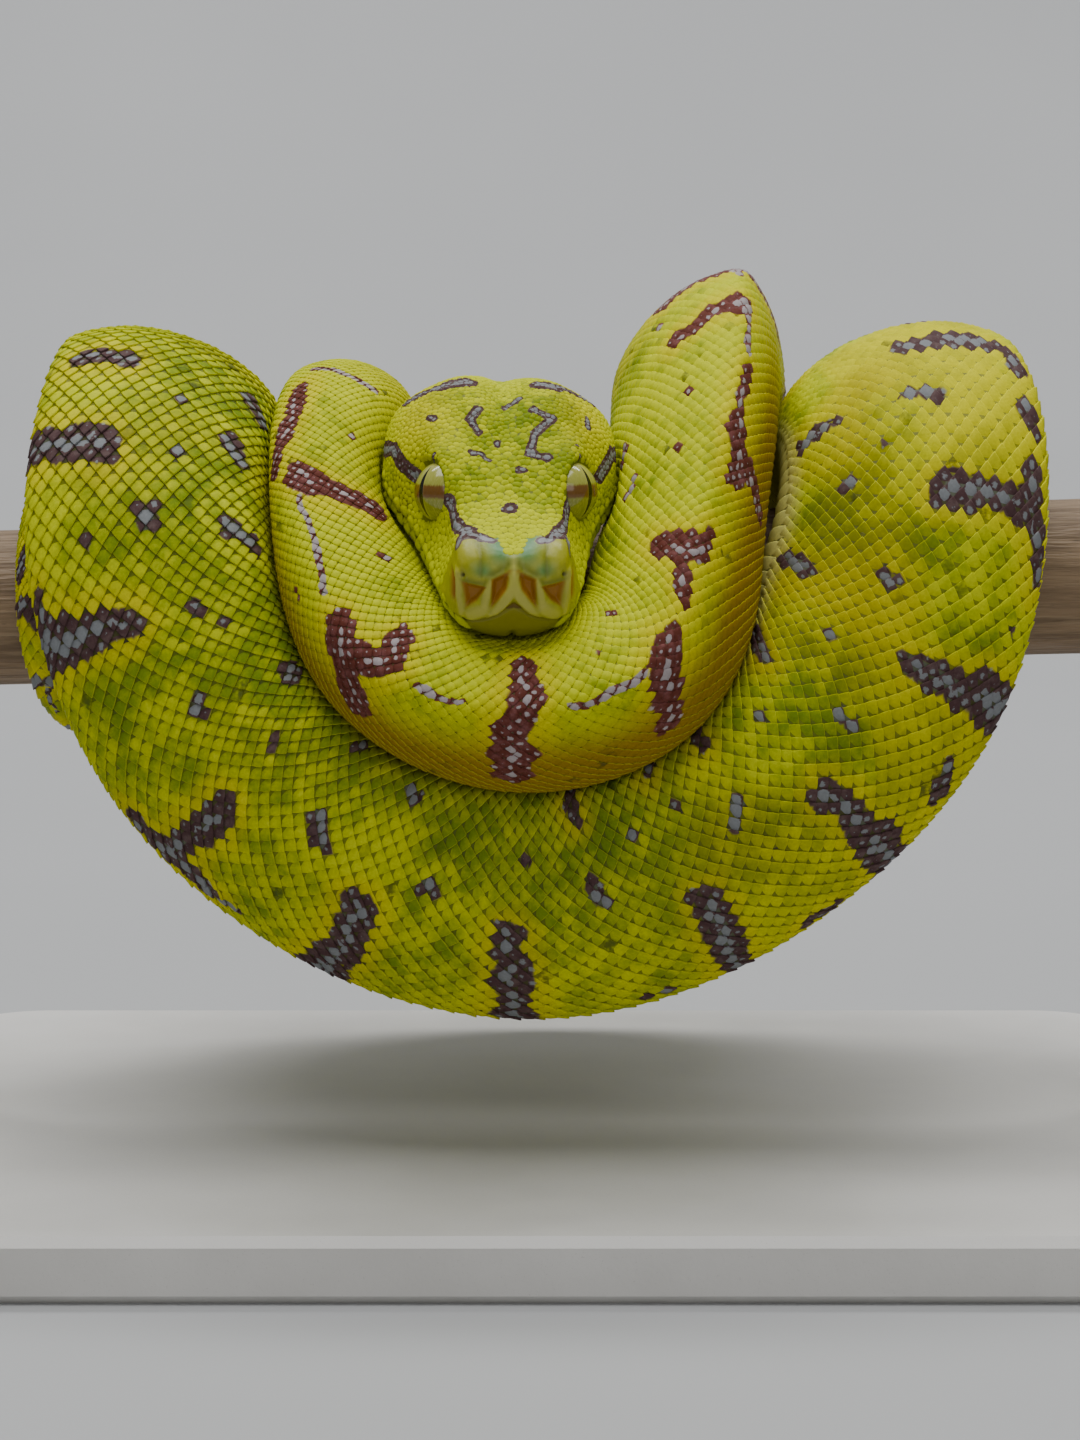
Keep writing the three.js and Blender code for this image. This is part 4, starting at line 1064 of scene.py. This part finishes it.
def head_tree():
    """The head's surface, for finding the nearest point of it."""
    rows = int(np.searchsorted(surface.s, 46))
    points = surface.points[:rows].reshape(-1, 3)
    return BVHTree.FromPolygons(points.tolist(), strip_faces(rows, GRID_SIDES).tolist())


def spacing(points, s, rise):
    """The distance between neighbouring scales of the head."""
    size = 0.68 - 0.14 * smooth(s, 14, 20) + 0.26 * smooth(s, 30, 39) + 0.45 * smooth(-rise, 0, 4)
    for ball, _ in eyes():
        size = np.where(np.linalg.norm(points - ball, axis=-1) < EYE["radius"] + 1.0, 0.56, size)
    return size


def lip_seeds():
    """Places for the larger scales along both lips: distances and shares of the girth."""
    found = []
    for sign in (-1, 1):
        for above, begin in ((1, 7.4), (-1, 2.4)):
            for s in np.arange(begin, 26, 1.45):
                row = np.abs(surface.s - s).argmin()
                level = mouth_level(surface.s[row], surface.sideways[row]) + above * 0.92
                one_side = surface.sideways[row] * sign > 0
                k = np.where(one_side, np.abs(surface.rise[row] - level), np.inf).argmin()
                found.append((surface.s[row], surface.share_at[row, k]))
    return np.array(found)


def scatter_seeds():
    """Roots of the head's scales: distances, shares of the girth and sizes."""
    draw = np.random.default_rng(4)
    lips = lip_seeds()
    s = np.append(lips[:, 0], draw.uniform(0.4, HEAD_END + 2, SEED_TRIES))
    share = np.append(lips[:, 1], draw.random(SEED_TRIES))
    angle = surface.angles(s, share)
    points, _ = surface.at(s, angle)
    side, rise = surface.offsets(s, angle)
    size = spacing(points, s, rise)
    clear = snout_front(s, side, rise) < 0.5
    for ball, way in eyes():
        distance, facing = seen_from(ball, way, points)
        clear &= (distance > EYE["radius"] + 0.5) | (facing < OPENING - 0.06)
    clear &= (np.abs(rise - mouth_level(s, side)) > 0.3) | (s >= MOUTH_CORNER)
    size[:len(lips)] = LIP_SCALE
    clear[:len(lips)] = True
    kept = []
    for index in np.nonzero(clear)[0]:
        apart = np.linalg.norm(points[kept] - points[index], axis=1)
        if (apart > (size[kept] + size[index]) * 0.46).all():
            kept.append(index)
    return s[kept], share[kept], size[kept]


def head_coat():
    """Small domed scales that meet like cells, each reaching half way to its neighbours."""
    tree = head_tree()
    s_root, share, sizes = scatter_seeds()
    draw = np.random.default_rng(5)
    angle = surface.angles(s_root, share)
    seeds, normals = surface.at(s_root, angle)
    along = frames(s_root)[1]
    first = unit(along - normals * np.sum(along * normals, axis=1, keepdims=True))
    second = np.cross(normals, first)
    turn = np.arange(RAYS) * 2 * np.pi / RAYS
    rays = first[:, None] * np.cos(turn)[None, :, None] + second[:, None] * np.sin(turn)[None, :, None]
    gaps = np.linalg.norm(seeds[None] - seeds[:, None], axis=-1)
    np.fill_diagonal(gaps, np.inf)
    nearest = np.argsort(gaps, axis=1)[:, :NEIGHBOURS]
    to_others = seeds[nearest] - seeds[:, None]
    weight = (sizes * 0.5) ** 2
    level = (np.sum(to_others ** 2, -1) + weight[:, None] - weight[nearest]) / 2
    facing = np.einsum("nrk,nmk->nrm", rays, to_others)
    limit = np.where(facing > 1e-3, level[:, None] / np.maximum(facing, 1e-3), np.inf).min(-1)
    radius = np.clip(limit, 0.2, (sizes * 0.95)[:, None])
    radius = (3 * radius + 0.5 * (np.roll(radius, 1, 1) + np.roll(radius, -1, 1))) / 4 * 1.06
    rings = np.array([0.6, 1.0])
    flat = seeds[:, None, None] + rays[:, None] * (radius[:, None] * rings[None, :, None])[..., None]
    flat = np.concatenate([seeds[:, None], flat.reshape(len(seeds), -1, 3)], axis=1)
    snapped = np.array([tree.find_nearest(p)[0][:] for p in flat.reshape(-1, 3).tolist()])
    tall = (0.15 + 0.04 * smooth(s_root, 8, 30)) * draw.uniform(0.8, 1.15, len(seeds)) * (sizes / 0.9)
    lift = np.concatenate([[1.0], np.repeat([0.8, -0.02], RAYS)])
    points = snapped.reshape(flat.shape) + normals[:, None] * (tall[:, None] * lift[None])[..., None]
    keep = s_root < HEAD_END + 0.8
    points, seeds, normals, s_root, share, angle = (
        v[keep] for v in (points, seeds, normals, s_root, share, angle)
    )
    count, each = points.shape[:2]
    look = paint(seeds, s_root, share, draw.random(count))
    look.update(head_look(s_root, *surface.offsets(s_root, angle)))
    look = {label: np.repeat(v, each) for label, v in look.items()}
    look.update(markings(points.reshape(-1, 3), np.repeat(s_root, each), np.repeat(share, each)))
    count_thin_marks(look)
    look["rim"] = np.tile(np.concatenate([[0], np.repeat([0.5, 0.86], RAYS)]), count)
    spread = np.concatenate([[0], np.repeat(rings, RAYS)])
    spoke = np.concatenate([[0], np.tile(turn, 2)])
    rear, flank = spread * np.cos(spoke), spread * np.sin(spoke)
    look["rear"] = np.tile(rear, count)
    look["flank"] = np.tile(flank, count)
    u = on_map((share + 0.5) % 1)[:, None] + PATCH * rear[None]
    v = on_map(s_root / (HEAD_END + 1))[:, None] + PATCH * flank[None]
    faces = repeated(dome_faces(RAYS), count, each)
    uv = np.stack([u.ravel(), v.ravel()], 1)
    coat = new_object("head_scales", place(points.reshape(-1, 3)), faces, look, uv)
    return outward_like(coat, normals[0])


# ---- Materials ------------------------------------------------------------------------------------------

class Nodes:
    """A short way to build a material's node tree."""

    def __init__(self, name):
        self.material = bpy.data.materials.new(name)
        self.material.use_nodes = True
        self.tree = self.material.node_tree
        self.shader = self.tree.nodes["Principled BSDF"]
        self.where = self.add("ShaderNodeTexCoord").outputs["Object"]

    def add(self, kind, **settings):
        node = self.tree.nodes.new(kind)
        for label, value in settings.items():
            setattr(node, label, value)
        return node

    def link(self, source, target):
        self.tree.links.new(source, target)

    def feed(self, socket, value):
        if isinstance(value, bpy.types.NodeSocket):
            self.link(value, socket)
        else:
            socket.default_value = value

    def attribute(self, name):
        return self.add("ShaderNodeAttribute", attribute_name=name).outputs["Fac"]

    def scaled(self, scale):
        """The coordinates, stretched by a scale along each axis."""
        node = self.add("ShaderNodeMapping")
        node.inputs["Scale"].default_value = scale
        self.link(self.where, node.inputs["Vector"])
        return node.outputs["Vector"]

    def noise(self, scale, detail=3.0, roughness=0.55, stretch=None):
        source = self.scaled(stretch) if stretch else self.where
        node = self.add("ShaderNodeTexNoise")
        self.link(source, node.inputs["Vector"])
        node.inputs["Scale"].default_value = scale
        node.inputs["Detail"].default_value = detail
        node.inputs["Roughness"].default_value = roughness
        return node.outputs["Fac"]

    def math(self, operation, first, second=0.0, clamp=False):
        node = self.add("ShaderNodeMath", operation=operation, use_clamp=clamp)
        self.feed(node.inputs[0], first)
        self.feed(node.inputs[1], second)
        return node.outputs["Value"]

    def times(self, first, second):
        return self.math("MULTIPLY", first, second)

    def plus(self, first, second):
        return self.math("ADD", first, second)

    def less(self, first, second, clamp=False):
        return self.math("SUBTRACT", first, second, clamp)

    def size(self, value):
        return self.math("ABSOLUTE", value)

    def span(self, value, low, high, to_low=0.0, to_high=1.0):
        node = self.add("ShaderNodeMapRange", interpolation_type="SMOOTHSTEP")
        self.feed(node.inputs["Value"], value)
        node.inputs["From Min"].default_value = low
        node.inputs["From Max"].default_value = high
        node.inputs["To Min"].default_value = to_low
        node.inputs["To Max"].default_value = to_high
        return node.outputs["Result"]

    def mix(self, amount, first, second, blend="MIX"):
        node = self.add("ShaderNodeMix", data_type="RGBA", blend_type=blend)
        self.feed(node.inputs["Factor"], amount)
        for label, colour in (("A", first), ("B", second)):
            socket = [i for i in node.inputs if i.name == label and i.type == "RGBA"][0]
            self.feed(socket, colour if isinstance(colour, bpy.types.NodeSocket) else (*colour, 1))
        return [o for o in node.outputs if o.type == "RGBA"][0]

    def grey(self, value):
        node = self.add("ShaderNodeCombineColor")
        for socket in node.inputs[:3]:
            self.feed(socket, value)
        return node.outputs["Color"]

    def bump(self, height, strength, distance):
        node = self.add("ShaderNodeBump")
        node.inputs["Strength"].default_value = strength
        node.inputs["Distance"].default_value = distance
        self.link(height, node.inputs["Height"])
        self.link(node.outputs["Normal"], self.shader.inputs["Normal"])

    def tinted(self, colour, tints):
        """The colour with tints laid over it in turn, each by a number at the mesh's points times a share."""
        for label, share, tint in tints:
            colour = self.mix(self.times(self.attribute(label), share), colour, tint)
        return colour

    def set(self, **values):
        for label, value in values.items():
            self.feed(self.shader.inputs[label.replace("_", " ")], value)
        return self.material


YELLOW = (0.545, 0.585, 0.006)
# pale yellow for the free edges of the scales, partly their own colour and partly a painted highlight
PALE_EDGE_AND_HIGHLIGHT = (0.72, 0.73, 0.012)
GOLD = (0.66, 0.56, 0.004)
GREEN = (0.165, 0.24, 0.010)
# warm brown, for the real warm patches and for the painted shade under the inner coil
WARM_AND_SHADE = (0.27, 0.155, 0.001)
BROWN = (0.120, 0.034, 0.024)
SLATE = (0.078, 0.042, 0.043)
PALE_FLECK = (0.42, 0.38, 0.385)
GREY_FLECK = (0.235, 0.255, 0.265)
BELLY = (0.72, 0.68, 0.22)
DOT = (0.05, 0.055, 0.02)
# dark green for the painted shadow at each scale's root
ROOT_SHADOW = tuple(channel * 0.35 for channel in GREEN)


def reptile(name, on_skin):
    """The coat's colours, on the scales or on the skin between them."""
    n = Nodes(name)
    mottle = n.noise(900.0, 4.0, 0.6)
    fine = n.noise(3200.0, 2.0)
    rim, mark, outer, own = (n.attribute(label) for label in ("rim", "mark", "outer", "own"))
    tone = n.plus(n.attribute("green"), n.times(n.less(mottle, 0.5), 0.7))
    colour = n.mix(n.span(tone, 0.12, 0.92), YELLOW, GREEN)
    # the warm tint is partly real warm patches and partly painted shade under the inner coil
    colour = n.tinted(colour, [("beside", 0.62, GOLD), ("warm", 0.6, WARM_AND_SHADE), ("belly", 0.85, BELLY)])
    fleck = n.span(n.attribute("pale"), 0.35, 0.7)
    if not on_skin:
        # the root of each scale is darkened as a painted shadow of the scale before it, and its free edges
        # are made paler, partly in their own paler colour and partly as a painted highlight
        rear, flank = n.attribute("rear"), n.attribute("flank")
        root = n.times(n.span(rim, 0.68, 0.88), n.span(rear, 0.05, -0.3, 0.0, 0.58))
        colour = n.mix(root, colour, ROOT_SHADOW)
        # the free rear edge: partly its own paler colour, partly a painted highlight where the edge catches
        # the light
        edge = n.times(n.span(rim, 0.87, 0.97), n.span(rear, -0.1, 0.25, 0.0, 0.38))
        colour = n.mix(edge, colour, PALE_EDGE_AND_HIGHLIGHT)
        # a pale fleck of its own size in the middle of each marked scale
        centre = n.plus(n.times(rear, rear), n.times(flank, flank))
        ragged = n.plus(n.math("SQRT", centre), n.times(n.less(fine, 0.5), 0.7))
        chance = n.math("FRACT", n.times(own, 7.31))
        reach = n.plus(n.span(chance, 0.1, 1.0, 0.0, 0.33), n.times(fleck, 0.7))
        fleck = n.span(n.less(ragged, reach), 0.07, -0.07)
    dot = n.times(n.attribute("dot"), n.span(mottle, 0.35, 0.6))
    colour = n.mix(n.times(dot, 0.75), colour, DOT)
    ground = n.mix(outer, BROWN, SLATE)
    ground = n.mix(n.span(mottle, 0.4, 0.75), ground, n.mix(outer, (0.20, 0.075, 0.07), (0.13, 0.085, 0.08)))
    marked = n.mix(n.times(fleck, 0.85), ground, n.mix(outer, PALE_FLECK, GREY_FLECK))
    colour = n.mix(n.span(mark, 0.4, 0.6), colour, marked)
    colour = n.mix(1.0, colour, n.grey(n.span(fine, 0.2, 0.8, 0.9, 1.08)), "MULTIPLY")
    return n, colour, mottle, fine, rim, mark


def scale_material():
    n, colour, mottle, fine, _, _ = reptile("snake_scale", False)
    n.bump(n.plus(mottle, n.times(fine, 0.5)), 0.18, 0.0002)
    return n.set(Base_Color=colour, Roughness=n.span(fine, 0.25, 0.8, 0.40, 0.56), Specular_IOR_Level=0.025)


def skin_material():
    n, colour, mottle, fine, rim, mark = reptile("snake_skin", True)
    dark = n.mix(0.7, colour, (0.05, 0.06, 0.0))
    colour = n.mix(n.less(1.0, rim, True), dark, colour)
    # the snout's plates are smooth, translucent and greenish, its pits brown
    smooth_front = n.attribute("smooth")
    plate = n.mix(n.span(mottle, 0.3, 0.7), (0.30, 0.305, 0.012), (0.37, 0.36, 0.03))
    # the jaw's darker tint is painted shade on the front of the lower jaw, below the mouth's line
    plate = n.tinted(plate, [
        ("jaw", 0.9, (0.22, 0.205, 0.006)), ("ridge", 0.7, (0.48, 0.45, 0.09)),
        ("teal", 0.9, (0.06, 0.23, 0.09)), ("groove", 0.6, (0.11, 0.13, 0.004)),
    ])
    colour = n.mix(n.times(smooth_front, n.span(mark, 0.6, 0.3)), colour, plate)
    # the pits keep their own brown; the dark of the mouth's line and of its notch is painted shade
    colour = n.tinted(colour, [
        ("pit", 0.95, (0.31, 0.125, 0.004)), ("mouth_shade", 0.8, (0.10, 0.042, 0.002)),
        # painted shade in the nostrils' openings
        ("nostril", 0.8, (0.03, 0.025, 0.004)),
    ])
    roughness = n.span(smooth_front, 0.0, 1.0, 0.6, 0.32)
    n.bump(n.plus(mottle, n.times(fine, 0.6)), 0.2, 0.0002)
    return n.set(Base_Color=colour, Roughness=roughness, Specular_IOR_Level=0.26)


def eye_material():
    """Iris in the ball's own coordinates: Z looks out, Y is up."""
    n = Nodes("snake_eye")
    n.where = n.scaled((1000, 1000, 1000))
    split = n.add("ShaderNodeSeparateXYZ")
    n.link(n.where, split.inputs[0])
    x, y, z = split.outputs
    streaks = n.noise(1.6, 4.0, 0.6, (6.0, 1.2, 1.2))
    specks = n.noise(5.0, 3.0, 0.6)
    up = n.span(n.plus(y, n.times(n.less(specks, 0.5), 1.2)), -1.4, 1.6)
    iris = n.mix(up, (0.24, 0.25, 0.01), (0.33, 0.34, 0.05))
    iris = n.mix(n.span(streaks, 0.4, 0.75, 0.0, 0.5), iris, (0.48, 0.45, 0.13))
    wander = n.plus(n.less(y, 0.1), n.times(n.less(streaks, 0.5), 0.5))
    band = n.less(1.0, n.span(n.size(wander), 0.5, 0.85), True)
    iris = n.mix(n.times(band, 0.88), iris, (0.15, 0.040, 0.003))
    # the upright slit, narrowing to points above and below
    reach = n.math("DIVIDE", y, 2.75)
    bow = n.less(1.0, n.times(reach, reach), True)
    width = n.times(bow, 0.3)
    slit = n.span(n.less(n.size(x), width), -0.03, 0.05, 1.0, 0.0)
    slit = n.times(slit, n.span(bow, 0.0, 0.06))
    iris = n.mix(n.times(n.span(n.size(x), 0.5, 0.2), 0.25), iris, (0.60, 0.55, 0.14))
    iris = n.mix(slit, iris, (0.004, 0.003, 0.002))
    rim = n.span(z, 1.9, 1.2)
    iris = n.mix(n.times(rim, 0.85), iris, (0.03, 0.026, 0.006))
    n.bump(n.plus(streaks, specks), 0.05, 0.0001)
    roughness = n.span(specks, 0.3, 0.7, 0.12, 0.2)
    return n.set(Base_Color=iris, Roughness=roughness, Coat_Weight=0.3, Coat_Roughness=0.04)


def wood_material():
    n = Nodes("perch_wood")
    wide = n.noise(1.0, 3.0, 0.5, (14, 120, 120))
    grain = n.noise(1.0, 5.0, 0.65, (60, 900, 900))
    fibre = n.noise(1.0, 2.0, 0.5, (150, 3200, 3200))
    pores = n.noise(1.0, 2.0, 0.5, (300, 2600, 2600))
    colour = n.mix(n.span(wide, 0.3, 0.7), (0.205, 0.128, 0.066), (0.295, 0.195, 0.105))
    colour = n.mix(n.span(grain, 0.38, 0.66, 0.0, 0.75), colour, (0.12, 0.075, 0.042))
    colour = n.mix(n.span(fibre, 0.45, 0.75, 0.0, 0.4), colour, (0.38, 0.27, 0.16))
    colour = n.mix(n.span(pores, 0.66, 0.74, 0.0, 0.6), colour, (0.05, 0.03, 0.018))
    height = n.plus(n.times(grain, 0.7), n.less(fibre, pores))
    n.bump(height, 0.45, 0.0004)
    return n.set(Base_Color=colour, Roughness=n.span(grain, 0.3, 0.7, 0.52, 0.72))


def base_material():
    n = Nodes("stand_satin")
    orange_peel = n.noise(1400.0, 2.0, 0.5)
    cloud = n.noise(30.0, 4.0, 0.6)
    speck = n.noise(5200.0, 1.0, 0.5)
    colour = n.mix(n.span(cloud, 0.3, 0.7), (0.60, 0.585, 0.555), (0.68, 0.665, 0.635))
    colour = n.mix(n.span(speck, 0.70, 0.76, 0.0, 0.35), colour, (0.42, 0.40, 0.37))
    n.bump(orange_peel, 0.12, 0.0002)
    return n.set(Base_Color=colour, Roughness=n.span(cloud, 0.3, 0.7, 0.42, 0.54))


def rod_material():
    n = Nodes("stand_steel")
    lines = n.noise(1.0, 2.0, 0.5, (900, 900, 9000))
    smear = n.noise(90.0, 3.0, 0.6)
    colour = n.mix(n.span(lines, 0.3, 0.7), (0.48, 0.47, 0.45), (0.66, 0.65, 0.63))
    roughness = n.plus(n.span(lines, 0.3, 0.7, 0.24, 0.38), n.span(smear, 0.4, 0.7, 0.0, 0.08))
    n.bump(lines, 0.1, 0.0001)
    return n.set(Base_Color=colour, Roughness=roughness, Metallic=1.0)


def floor_material():
    n = Nodes("pale_floor")
    cloud = n.noise(3.0, 3.0, 0.5)
    colour = n.mix(n.span(cloud, 0.3, 0.7), (0.40, 0.405, 0.41), (0.43, 0.435, 0.44))
    n.bump(n.noise(800.0, 2.0, 0.5), 0.05, 0.0002)
    return n.set(Base_Color=colour, Roughness=0.75)


# ---- The eyes, the perch and the stand ------------------------------------------------------------------

EYE_RINGS, EYE_SIDES = 48, 64
CORNEA = 0.012           # how far the eye bulges in front, as a share of its radius
PERCH_LENGTH, PERCH_SIDES = 130, 112    # points along the perch and round it
PERCH_HALF = 75.7        # half of the perch's length
ROUNDING = 1.2           # radius of the edges of its ends


def tidy_normals(obj):
    bm = bmesh.new()
    bm.from_mesh(obj.data)
    bmesh.ops.recalc_face_normals(bm, faces=bm.faces)
    bm.to_mesh(obj.data)
    bm.free()
    return obj


def make_eye(name, centre, sign):
    """A ball with its pole looking out and forwards, and its slit upright."""
    radius = EYE["radius"] - 0.02
    tilt = np.linspace(0, np.pi, EYE_RINGS + 1)[1:-1]
    turn = np.arange(EYE_SIDES) * 2 * np.pi / EYE_SIDES
    ring = np.stack([
        np.sin(tilt)[:, None] * np.cos(turn), np.sin(tilt)[:, None] * np.sin(turn),
        np.broadcast_to(np.cos(tilt)[:, None], (len(tilt), EYE_SIDES)),
    ], axis=-1) * (radius * (1 + CORNEA * bump(tilt, 0.5)))[:, None, None]
    points = np.vstack([ring.reshape(-1, 3), [(0, 0, radius * (1 + CORNEA)), (0, 0, -radius)]])
    pole, rear, last = len(points) - 2, len(points) - 1, (EYE_RINGS - 2) * EYE_SIDES
    eye = tidy_normals(new_object(name, points * MM, [
        strip_faces(EYE_RINGS - 1, EYE_SIDES)[:, ::-1],
        fan(pole, 0, EYE_SIDES),
        fan(rear, last, EYE_SIDES, turned=True),
    ]))
    look = Vector((0.77 * sign, -0.64, 0.04)).normalized()
    right = Vector((0, 0, 1)).cross(look).normalized()
    up = look.cross(right)
    turned = Matrix((right, up, look)).transposed().to_4x4()
    eye.matrix_world = Matrix.Translation(Vector(place(centre))) @ turned
    return eye


def make_perch():
    """A round wooden perch, very slightly uneven, with rounded ends."""
    quarter = np.linspace(0, np.pi / 2, 7)
    end = PERCH_HALF - ROUNDING * (1 - np.cos(quarter))
    drop = ROUNDING * (1 - np.sin(quarter))
    length = np.linspace(2 * ROUNDING - PERCH_HALF, PERCH_HALF - 2 * ROUNDING, PERCH_LENGTH)
    x = np.concatenate([-end, length, end[::-1]])
    fall = np.concatenate([drop, np.zeros(PERCH_LENGTH), drop[::-1]])
    turn = np.arange(PERCH_SIDES) * 2 * np.pi / PERCH_SIDES
    ring = np.stack(np.broadcast_arrays(x[:, None], np.cos(turn)[None], np.sin(turn)[None]), axis=-1)
    wear = noise(ring * (0.05, 1.6, 1.6), 1.0, 21) * 0.14 + noise(ring * (0.4, 9, 9), 1.0, 22) * 0.05
    radius = PERCH_RADIUS - fall[:, None] - wear
    points = ring * np.stack([np.ones(radius.shape), radius, radius], axis=-1)
    points = np.vstack([points.reshape(-1, 3), [(x[0], 0, 0), (x[-1], 0, 0)]])
    c, n = math.cos(PERCH_TILT), math.sin(PERCH_TILT)
    along, across, up = points.T
    tilted = np.stack([along * c - up * n, across, along * n + up * c], 1)
    left, right, last = len(points) - 2, len(points) - 1, (len(x) - 1) * PERCH_SIDES
    return tidy_normals(new_object("perch_wood_piece", place(tilted), [
        strip_faces(len(x), PERCH_SIDES),
        fan(left, 0, PERCH_SIDES, turned=True),
        fan(right, last, PERCH_SIDES),
    ]))


def finish_piece(obj, material, replaced=()):
    """Gives a piece its material, hides the solids that it replaces, and hangs it from the root body."""
    obj.data.materials.clear()
    obj.data.materials.append(material)
    if replaced:
        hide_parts(*replaced)
    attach(obj, "root")


FLESH = ["head", "lower_jaw", "neck_front", "neck_bend"]
FLESH += ["trunk_%02d" % number for number in range(1, 16)]
FLESH += ["tail_base", "tail_middle", "tail_tip"]

STRETCHES = [HEAD_END, 130, 225, 320, 410, 500, 590, 690, LENGTH]

scale_look = scale_material()
finish_piece(make_skin(), skin_material(), FLESH)
rows = scale_rows()
for number, (start, stop) in enumerate(zip(STRETCHES[:-1], STRETCHES[1:])):
    coat = scale_coat("body_scales_%d" % (number + 1), rows, start, stop, 50 + number)
    finish_piece(coat, scale_look)
finish_piece(belly_plates(rows), scale_look)
finish_piece(head_coat(), scale_look)

eye_look = eye_material()
for name, (centre, way) in zip(("eye_left", "eye_right"), eyes()):
    eye = make_eye(name + "_ball", centre, np.sign(way[0]))
    finish_piece(eye, eye_look, [name])

finish_piece(make_perch(), wood_material(), ["perch"])
finish_piece(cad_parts["stand_base"], base_material())
steel = rod_material()
for name in ("stand_rod_left", "stand_rod_right"):
    finish_piece(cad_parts[name], steel)


# ---- Floor, light and camera ----------------------------------------------------------------------------

def area_light(name, energy, size, at, towards, colour=(1, 1, 1)):
    data = bpy.data.lights.new(name, "AREA")
    data.energy = energy
    data.shape = "RECTANGLE"
    data.size, data.size_y = size
    data.color = colour
    light = bpy.data.objects.new(name, data)
    bpy.context.scene.collection.objects.link(light)
    light.location = at
    light.rotation_euler = (Vector(towards) - Vector(at)).to_track_quat("-Z", "Y").to_euler()


def make_floor():
    """A pale floor that curves up into a backdrop behind."""
    bend = np.linspace(0, np.pi / 2, 24)
    y = np.concatenate([[-3.0, -1.0, 0.0], 0.9 + 0.5 * np.sin(bend), [1.4]])
    z = np.concatenate([[0.0, 0.0, 0.0], 0.5 - 0.5 * np.cos(bend), [3.0]])
    x = np.array([-3.0, 3.0])
    points = np.array([(a, b, c) for b, c in zip(y, z) for a in x])
    floor = new_object("floor", points, [strip_faces(len(y), 2, closed=False)])
    floor.data.materials.append(floor_material())


make_floor()
area_light("overhead", 3.5, (0.6, 0.4), (-0.06, -0.16, 0.75), (0, 0, 0.06))
area_light("front_fill", 1.9, (0.8, 0.5), (0.15, -1.0, 0.45), (0, 0, 0.06), (1.0, 0.98, 0.95))
area_light("backdrop_light", 32.0, (2.0, 0.4), (0, 0.55, 1.6), (0, 1.3, 0.35))

world = bpy.data.worlds.new("pale_room")
bpy.context.scene.world = world
world.use_nodes = True
world.node_tree.nodes["Background"].inputs["Color"].default_value = (0.84, 0.87, 0.90, 1)
world.node_tree.nodes["Background"].inputs["Strength"].default_value = 0.22

lens = bpy.data.cameras.new("camera")
lens.sensor_width = 36.0
lens.lens = 75.75
camera = bpy.data.objects.new("camera", lens)
bpy.context.scene.collection.objects.link(camera)
camera.location = (0, -0.3487, 0.0985)
camera.rotation_euler = (math.radians(90 - 7.42), 0, 0)
lens.clip_start = 0.01
bpy.context.scene.camera = camera
